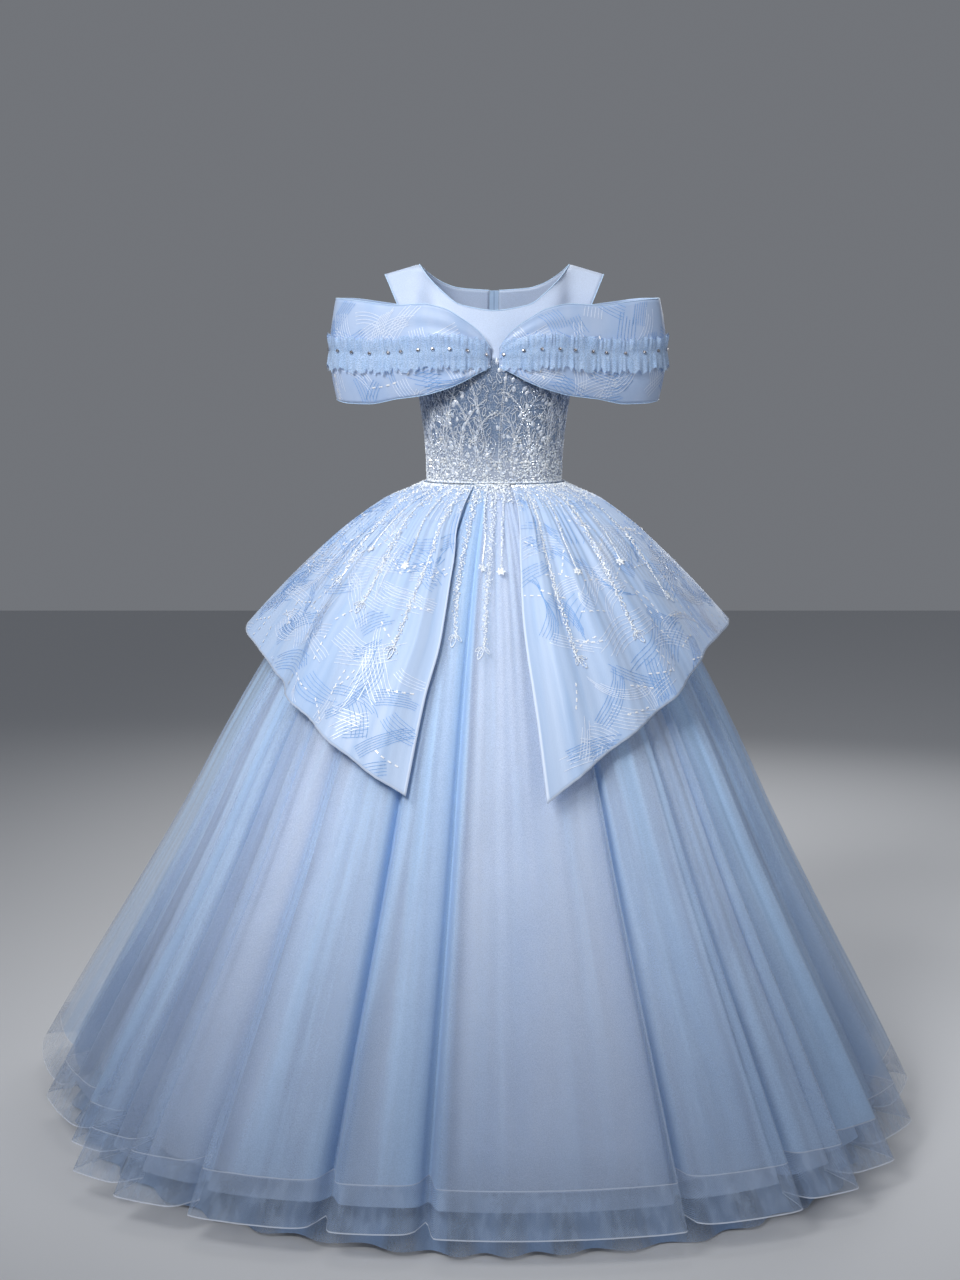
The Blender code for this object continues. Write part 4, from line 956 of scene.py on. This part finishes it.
# cloth: number of chains, shares of its width that they span at the waist and at their ends,
# and the shares of its length that a long and a short one reach
STREAMERS = {
    "front_L": (5, (0.08, 0.62), (0.13, 0.55), (0.60, 0.40)),
    "front": (4, (0.31, 0.60), (0.37, 0.52), (0.50, 0.30)),
    "front_R": (5, (0.14, 0.74), (0.15, 0.60), (0.68, 0.44)),
    "back_L": (3, (0.18, 0.66), (0.18, 0.58), (0.46, 0.32)),
    "back_R": (3, (0.22, 0.70), (0.20, 0.60), (0.46, 0.32)),
}
# cloth: number of beads scattered below the waist, their span across and the depth they reach
SCATTERS = {
    "front_L": (900, (0.0, 1.0), 0.14), "front_R": (900, (0.0, 1.0), 0.14),
    "front": (420, (0.26, 0.69), 0.06),
    "back_L": (260, (0.0, 1.0), 0.06), "back_R": (260, (0.0, 1.0), 0.06),
}


def chain(cloth, start, end, reach, wide, plenty):
    """Rows and columns of the beads of one chain, which sways as it falls and grows narrower."""
    high, broad = cloth[0].shape[:2]
    down = np.linspace(0, 1, 60)
    sway, phase = dice.uniform(0.006, 0.016), dice.uniform(0, 6.3)
    across = start + (end - start) * down + sway * (np.sin(5 * down + phase) - math.sin(phase))
    row, column = (0.006 + reach * down) * (high - 1), across * (broad - 1)
    path = at_place(cloth[0], row, column)
    along = np.concatenate([[0], np.cumsum(np.linalg.norm(np.diff(path, axis=0), axis=1))])
    count = int(along[-1] * plenty)
    place = np.array([(n + dice.random()) / count for n in range(count)])
    off = np.array([dice.gauss(0, 0.45) for _ in range(count)]) * wide * (1.1 - 0.6 * place)
    row, column = (np.interp(place * along[-1], along, a) for a in (row, column))
    rows, columns = walked(cloth, row, column, np.where(off > 0, 0.0, math.pi), 0.0, abs(off), 2)
    return rows[:, -1], columns[:, -1]


def spray(cloth, row, column, heading, size):
    """Outlined leaves in a fan, each with beads down its middle."""
    fan = np.array([-0.75, 0.0, 0.75])
    reach = size * np.array([0.85, 1.25, 0.85])
    rows, columns = walked(cloth, np.full(3, row), np.full(3, column), heading + fan, 0.0, reach, 4)
    places = rows[:, -1], columns[:, -1], heading + fan
    leaf_parts.append(sewn_on(OUTLINED_LEAF, cloth, *places, 0.8 * reach, 0.0012))
    rows, columns = rows[:, 1:].ravel(), columns[:, 1:].ravel()
    bead_parts.append(sewn_on(BEAD, cloth, rows, columns, rows, 0.0012, 0.0014))


dice = random.Random(23)
# spread of a chain's beads and their number per metre
LONG_CHAIN, SHORT_CHAIN = (0.0085, 1100), (0.0030, 620)
bead_parts, leaf_parts = [], []
for name, (chains, tops, feet, lengths) in STREAMERS.items():
    cloth = CLOTHS[name]
    for n in range(chains):
        short = n % 2
        start, end = (np.interp(n / (chains - 1), (0, 1), span) + dice.uniform(-0.015, 0.015)
                      for span in (tops, feet))
        reach = lengths[short] * dice.uniform(0.88, 1.08)
        rows, columns = chain(cloth, start, end, reach, *(SHORT_CHAIN if short else LONG_CHAIN))
        sizes = np.array([dice.uniform(0.0011, 0.0018) for _ in rows])
        bead_parts.append(sewn_on(BEAD, cloth, rows, columns, 0 * rows, sizes, 0.0012))
        row, column = rows[-1], columns[-1]
        if short:
            ring = np.arange(6) * math.pi / 3
            rows, columns = row + 0 * ring, column + 0 * ring
            leaf_parts.append(sewn_on(LEAF, cloth, rows, columns, ring, 0.009, 0.0012))
        else:
            spray(cloth, row, column, math.pi / 2 + dice.uniform(-0.3, 0.3), 0.012)
for name, (count, span, depth) in SCATTERS.items():
    high, broad = CLOTHS[name][0].shape[:2]
    across = np.array([dice.uniform(*span) for _ in range(count)])
    rows = (0.004 + depth * np.array([dice.random() ** 2.0 for _ in range(count)])) * (high - 1)
    sizes = np.array([dice.uniform(0.0010, 0.0017) for _ in range(count)])
    bead_parts.append(sewn_on(BEAD, CLOTHS[name], rows, across * (broad - 1), across, sizes, 0.0010))
joined("streamer_beads", bead_parts, BEAD_WHITE)
joined("streamer_leaves", leaf_parts, BEAD_WHITE)

# Yoke: a plain sheer front and two backs that rise from the bodice to a scooped neck and narrow
# shoulders, with a fine rolled edge round the neck and the armholes.
# share of the way outwards or up, and the place there: across, behind the side seam, height
FRONT_NECK = ((0.00, 0.000, -0.092, 0.3035), (0.28, 0.063, -0.083, 0.3170), (0.45, 0.090, -0.070, 0.3370),
              (0.62, 0.117, -0.045, 0.3640), (0.78, 0.136, 0.000, 0.3900))
BACK_NECK = ((0.00, 0.009, 0.076, 0.3450), (0.28, 0.063, 0.070, 0.3490), (0.45, 0.090, 0.060, 0.3570),
             (0.62, 0.117, 0.036, 0.3730), (0.78, 0.136, 0.000, 0.3900))
ARMHOLE = ((0.00, 0.1470, 0.000, 0.220), (0.20, 0.1495, 0.029, 0.240), (0.45, 0.1580, 0.045, 0.278),
           (0.72, 0.1770, 0.037, 0.324), (1.00, 0.1980, 0.000, 0.372))


def edge_line(edge, share):
    return np.stack(curves(edge, share), -1)


def yoke_points(neck, side, up, turn, facing_way):
    """Points between the bodice seam, the armhole and the neckline; side runs 0 to 1 outwards."""
    out = np.clip((side - 0.78) / 0.22, 0, 1)[..., None]
    high = edge_line(neck, side) * (1 - out) + edge_line(ARMHOLE, np.ones_like(side)) * out
    low = torso(turn, 0.2203)
    arm = edge_line(ARMHOLE, up) * np.array([1.0, facing_way, 1.0])
    arm_low, arm_high = edge_line(ARMHOLE, np.zeros_like(up)), edge_line(ARMHOLE, np.ones_like(up))
    straight = low + (high - low) * up[..., None]
    return straight + (arm - arm_low - (arm_high - arm_low) * up[..., None]) * side[..., None] ** 2


SHEER, tree = new_finish("sheer_yoke", Roughness=0.5, Sheen_Weight=0.25)
thread, uneven = fibres(tree, 800.0)
tone = ramp(tree, uneven, 0.4, 0.6)
into_shader(tree, Base_Color=blend_colours(tree, tone, (0.50, 0.60, 0.78), (0.54, 0.63, 0.80)),
            Alpha=ramp(tree, thread, 0.3, 0.7, 0.84, 0.96))
BINDING = two_tone("sheer_binding", 900.0, 0.4, 0.6, (0.42, 0.60, 0.84), (0.54, 0.71, 0.90),
                   Roughness=0.5, Sheen_Weight=0.2)


def rolled_edge(name, path, radius):
    """A fine round binding along a line of points."""
    line = bpy.data.curves.new(name, "CURVE")
    line.dimensions = "3D"
    line.bevel_depth = radius
    line.bevel_resolution = 1
    line.use_fill_caps = True
    spline = line.splines.new("POLY")
    spline.points.add(len(path) - 1)
    spline.points.foreach_set("co", np.concatenate([path, np.ones((len(path), 1))], 1).ravel())
    placed(name, line)
    bpy.ops.object.convert(target="MESH")
    bpy.context.object.data.shade_smooth()
    dressed(bpy.context.object, BINDING)


EDGE_RADIUS = 0.0009
yoke_ups = np.linspace(0, 1, 25)
side_shares = np.linspace(-1, 1, 81)
side, up = np.meshgrid(abs(side_shares), yoke_ups)
points = yoke_points(FRONT_NECK, side, up, 90 * side, -1) * np.stack(
    [np.where(side_shares < 0, -1.0, 1.0) + 0 * up, 1 + 0 * up, 1 + 0 * up], -1)
for _ in range(14):
    points[:-1, 1:-1] = (points[:-1, :-2] + 2 * points[:-1, 1:-1] + points[:-1, 2:]) / 4
    points[-1, 31:50] = (points[-1, 30:49] + 2 * points[-1, 31:50] + points[-1, 32:51]) / 4
front_yoke = cloth_piece("sheer_front", points, (side_shares + 1) / 2, yoke_ups,
                         SHEER, "yoke_front", wall=0.0006)
rolled_edge("neck_edge_front", points[-1, 9:72], EDGE_RADIUS)
for sign, name in ((-1, "L"), (1, "R")):
    rolled_edge("armhole_edge_front_" + name, points[:, 0 if sign < 0 else -1], EDGE_RADIUS)
    side, up = np.meshgrid(np.linspace(1, 0, 41), yoke_ups)
    half = yoke_points(BACK_NECK, side, up, 178 - 88 * side, 1) * np.array([sign, 1.0, 1.0])
    back_yoke = cloth_piece("sheer_back_" + name, half, np.linspace(0, 1, 41), yoke_ups,
                            SHEER, "yoke_back_" + name, wall=0.0006)
    rolled_edge("neck_edge_back_" + name, half[-1, 9:], EDGE_RADIUS)
    rolled_edge("armhole_edge_back_" + name, half[:, 0], EDGE_RADIUS)

# Off-shoulder bands: a wide loop of glitter tulle for each arm, gathered to a point at centre
# front and centre back, where its pleats fan out, and crowned softly in between.
BAND = (  # share of the way round the arm from centre front, then x, y, top and bottom height there
    (0.00, 0.008, -0.1238, 0.240, 0.207), (0.03, 0.030, -0.1300, 0.270, 0.196),
    (0.08, 0.060, -0.1305, 0.292, 0.180), (0.13, 0.090, -0.1270, 0.309, 0.168),
    (0.20, 0.130, -0.1160, 0.317, 0.157), (0.28, 0.180, -0.0990, 0.315, 0.150),
    (0.36, 0.230, -0.0790, 0.321, 0.141), (0.43, 0.270, -0.0560, 0.326, 0.142),
    (0.48, 0.290, -0.0300, 0.328, 0.146), (0.53, 0.294, 0.0000, 0.329, 0.148),
    (0.58, 0.290, 0.0300, 0.330, 0.150), (0.64, 0.266, 0.0560, 0.330, 0.152),
    (0.72, 0.220, 0.0780, 0.325, 0.155), (0.80, 0.170, 0.0940, 0.318, 0.160),
    (0.88, 0.120, 0.1040, 0.309, 0.170), (0.94, 0.070, 0.1070, 0.292, 0.184),
    (0.98, 0.030, 0.1065, 0.266, 0.199), (1.00, 0.014, 0.1045, 0.240, 0.207),
)
BAND_ROWS, BAND_COLUMNS = 60, 240


def band_points(reach, share, down):
    """Points of one band; share runs round the arm and down runs from its top to its bottom edge."""
    x, y, top, bottom = curves(BAND, share)
    before, after = curves(BAND, np.maximum(share - 0.01, 0)), curves(BAND, np.minimum(share + 0.01, 1))
    run_x, run_y = after[0] - before[0], after[1] - before[1]
    run = np.hypot(run_x, run_y)
    spread = (top - bottom) / 0.18
    gathered = np.clip(1 - np.minimum(share, 1 - share) / 0.30, 0, 1)
    out = 0.011 * (1 - (2 * down - 1) ** 2) * np.minimum(spread, 1)
    fine = 5.3 * down + 0.4 * np.sin(3 * share)
    fan = np.cos(4 * math.pi * down) + 0.55 * np.cos(2 * math.pi * fine)
    out = out + 0.0030 * gathered * spread * (1.55 + fan)
    out = out + 0.0012 * np.sin(9 * share + 5 * down) * np.sin(math.pi * down) * (1 - gathered)
    height = top + (bottom - top) * down
    return np.stack([(x + run_y / run * out) * reach, y - run_x / run * out, height], -1)


BANDS = {}
BAND_TULLE = glitter_finish("band_tulle", (0.42, 0.53, 0.74), (0.35, 0.48, 0.72), 16.0)
downs, shares = np.linspace(0, 1, BAND_ROWS + 1), np.linspace(0, 1, BAND_COLUMNS + 1)
for name, reach in (("L", -0.976), ("R", 1.020)):
    points = band_points(reach, shares[None, :], downs[:, None])
    band = cloth_piece("arm_band_" + name, points[::2], shares * 0.96 + 0.02, downs[::2] * 0.99,
                       BAND_TULLE, "band_" + name, wall=0.0011)
    BANDS[name] = (points, facing(points))
    embroider("threads_band_" + name, BANDS[name], 40 + ord(name), 52, 40, 8, (0.03, 0.10))
    for edge_name, row in (("top", 0), ("bottom", -1)):
        rolled_edge(f"band_{edge_name}_edge_{name}", points[row], 0.0007)

# Frills: two rows of fine soft ruffle on each band, gathered on one thread along its middle,
# with a line of small set crystals sewn over the thread.
FRILL_TULLE, tree = new_finish("frill_tulle", Roughness=0.6, Sheen_Weight=0.3)
tone = ramp(tree, gather_lines(tree, 150.0), 0.35, 0.7)
into_shader(tree, Base_Color=blend_colours(tree, tone, (0.46, 0.62, 0.86), (0.39, 0.57, 0.84)),
            Alpha=ramp(tree, fibres(tree, 520.0)[0], 0.3, 0.7, 0.50, 0.84))
SMOKED_CRYSTAL = two_tone("smoked_crystal", 500.0, 0.42, 0.58, (0.22, 0.20, 0.22), (0.85, 0.84, 0.86),
                          Roughness=0.12, Metallic=0.9, Coat_Weight=1.0)
share = np.linspace(0.008, 0.992, 1101)
_, _, top, bottom = curves(BAND, share)
height = top - bottom
up, low = np.minimum(0.024, 0.40 * height), np.minimum(0.033, 0.44 * height)
small = np.minimum(1, height / 0.10)
drift = 0.70 * np.sin(11 * share) + 0.45 * np.sin(37 * share + 1) + 0.22 * np.sin(91 * share)
phase = 2 * math.pi * (44 * share + 0.6 * drift)
ragged = 0.07 * np.sin(phase * 0.31) + 0.09 * np.sin(phase * 1.13) + 0.05 * np.sin(phase * 2.07 + 2)
steps = np.linspace(-1, 1, 13)
for name, cloth in BANDS.items():
    lines = []
    for step in steps:
        move = step * np.where(step < 0, up, low) * (1 + ragged)
        own = phase if step < 0 else phase * 0.86 + 1.3
        puff = 0.7 * np.sin(own) + 0.6 * np.sin(own * 1.73 + 1) + 0.9 * np.sin(own * 0.37)
        puff = puff + 0.7 * np.sin(own * 0.61 + 2)
        wave = 0.0011 + abs(step) ** 0.8 * (0.0046 + 0.0012 * puff) * small
        row, column = (0.5 + move / height) * BAND_ROWS, share * BAND_COLUMNS
        lines.append(at_place(cloth[0], row, column) + wave[:, None] * at_place(cloth[1], row, column))
    frill = cloth_piece("ruffle_" + name, np.array(lines), share, (steps + 1) / 2,
                        FRILL_TULLE, "frill_" + name)
    dice = random.Random(5)
    places = np.array([0.012 + 0.048 * n + dice.uniform(-0.006, 0.006) for n in range(21)])
    rows, columns = BAND_ROWS / 2 + 0 * places, BAND_COLUMNS * places
    crystals = sewn_on(GEM, cloth, rows, columns, places, 0.0036, 0.0034)
    joined("frill_crystals_" + name, [crystals], SMOKED_CRYSTAL)

# Zip: a fine closed zip from the waist to the neck at centre back, with a woven tape and a
# small metal slider and pull; it is shown where the two backs meet.
tape_finish, tree = new_finish("zip_tape_weave", Roughness=0.7, Sheen_Weight=0.1)
place = wire(tree, "ShaderNodeSeparateXYZ", {0: tree.nodes.new("ShaderNodeTexCoord").outputs["Object"]})
aside = wire(tree, "ShaderNodeMath", {0: place.outputs["X"]}, operation="ABSOLUTE")
middle = ramp(tree, aside.outputs[0], 0.0009, 0.0004)
ribs = sums(tree, "SINE", sums(tree, "MULTIPLY", place.outputs["Z"], 4200.0), 0.0)
ground = blend_colours(tree, ramp(tree, ribs, -0.5, 0.8), (0.38, 0.54, 0.78), (0.54, 0.70, 0.90))
into_shader(tree, Base_Color=blend_colours(tree, middle, ground, (0.20, 0.32, 0.54)),
            Normal=relief(tree, 0.5, 0.0006, ribs))
metal_finish, tree = new_finish("zip_nickel", Base_Color=(0.72, 0.76, 0.82), Metallic=1.0)
into_shader(tree, Roughness=ramp(tree, fibres(tree, 900.0)[0], 0.3, 0.7, 0.2, 0.36))
for node, finish in (("zip_tape", tape_finish), ("zip_slider", metal_finish), ("zip_pull", metal_finish)):
    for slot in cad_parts[node].material_slots:
        slot.material = finish
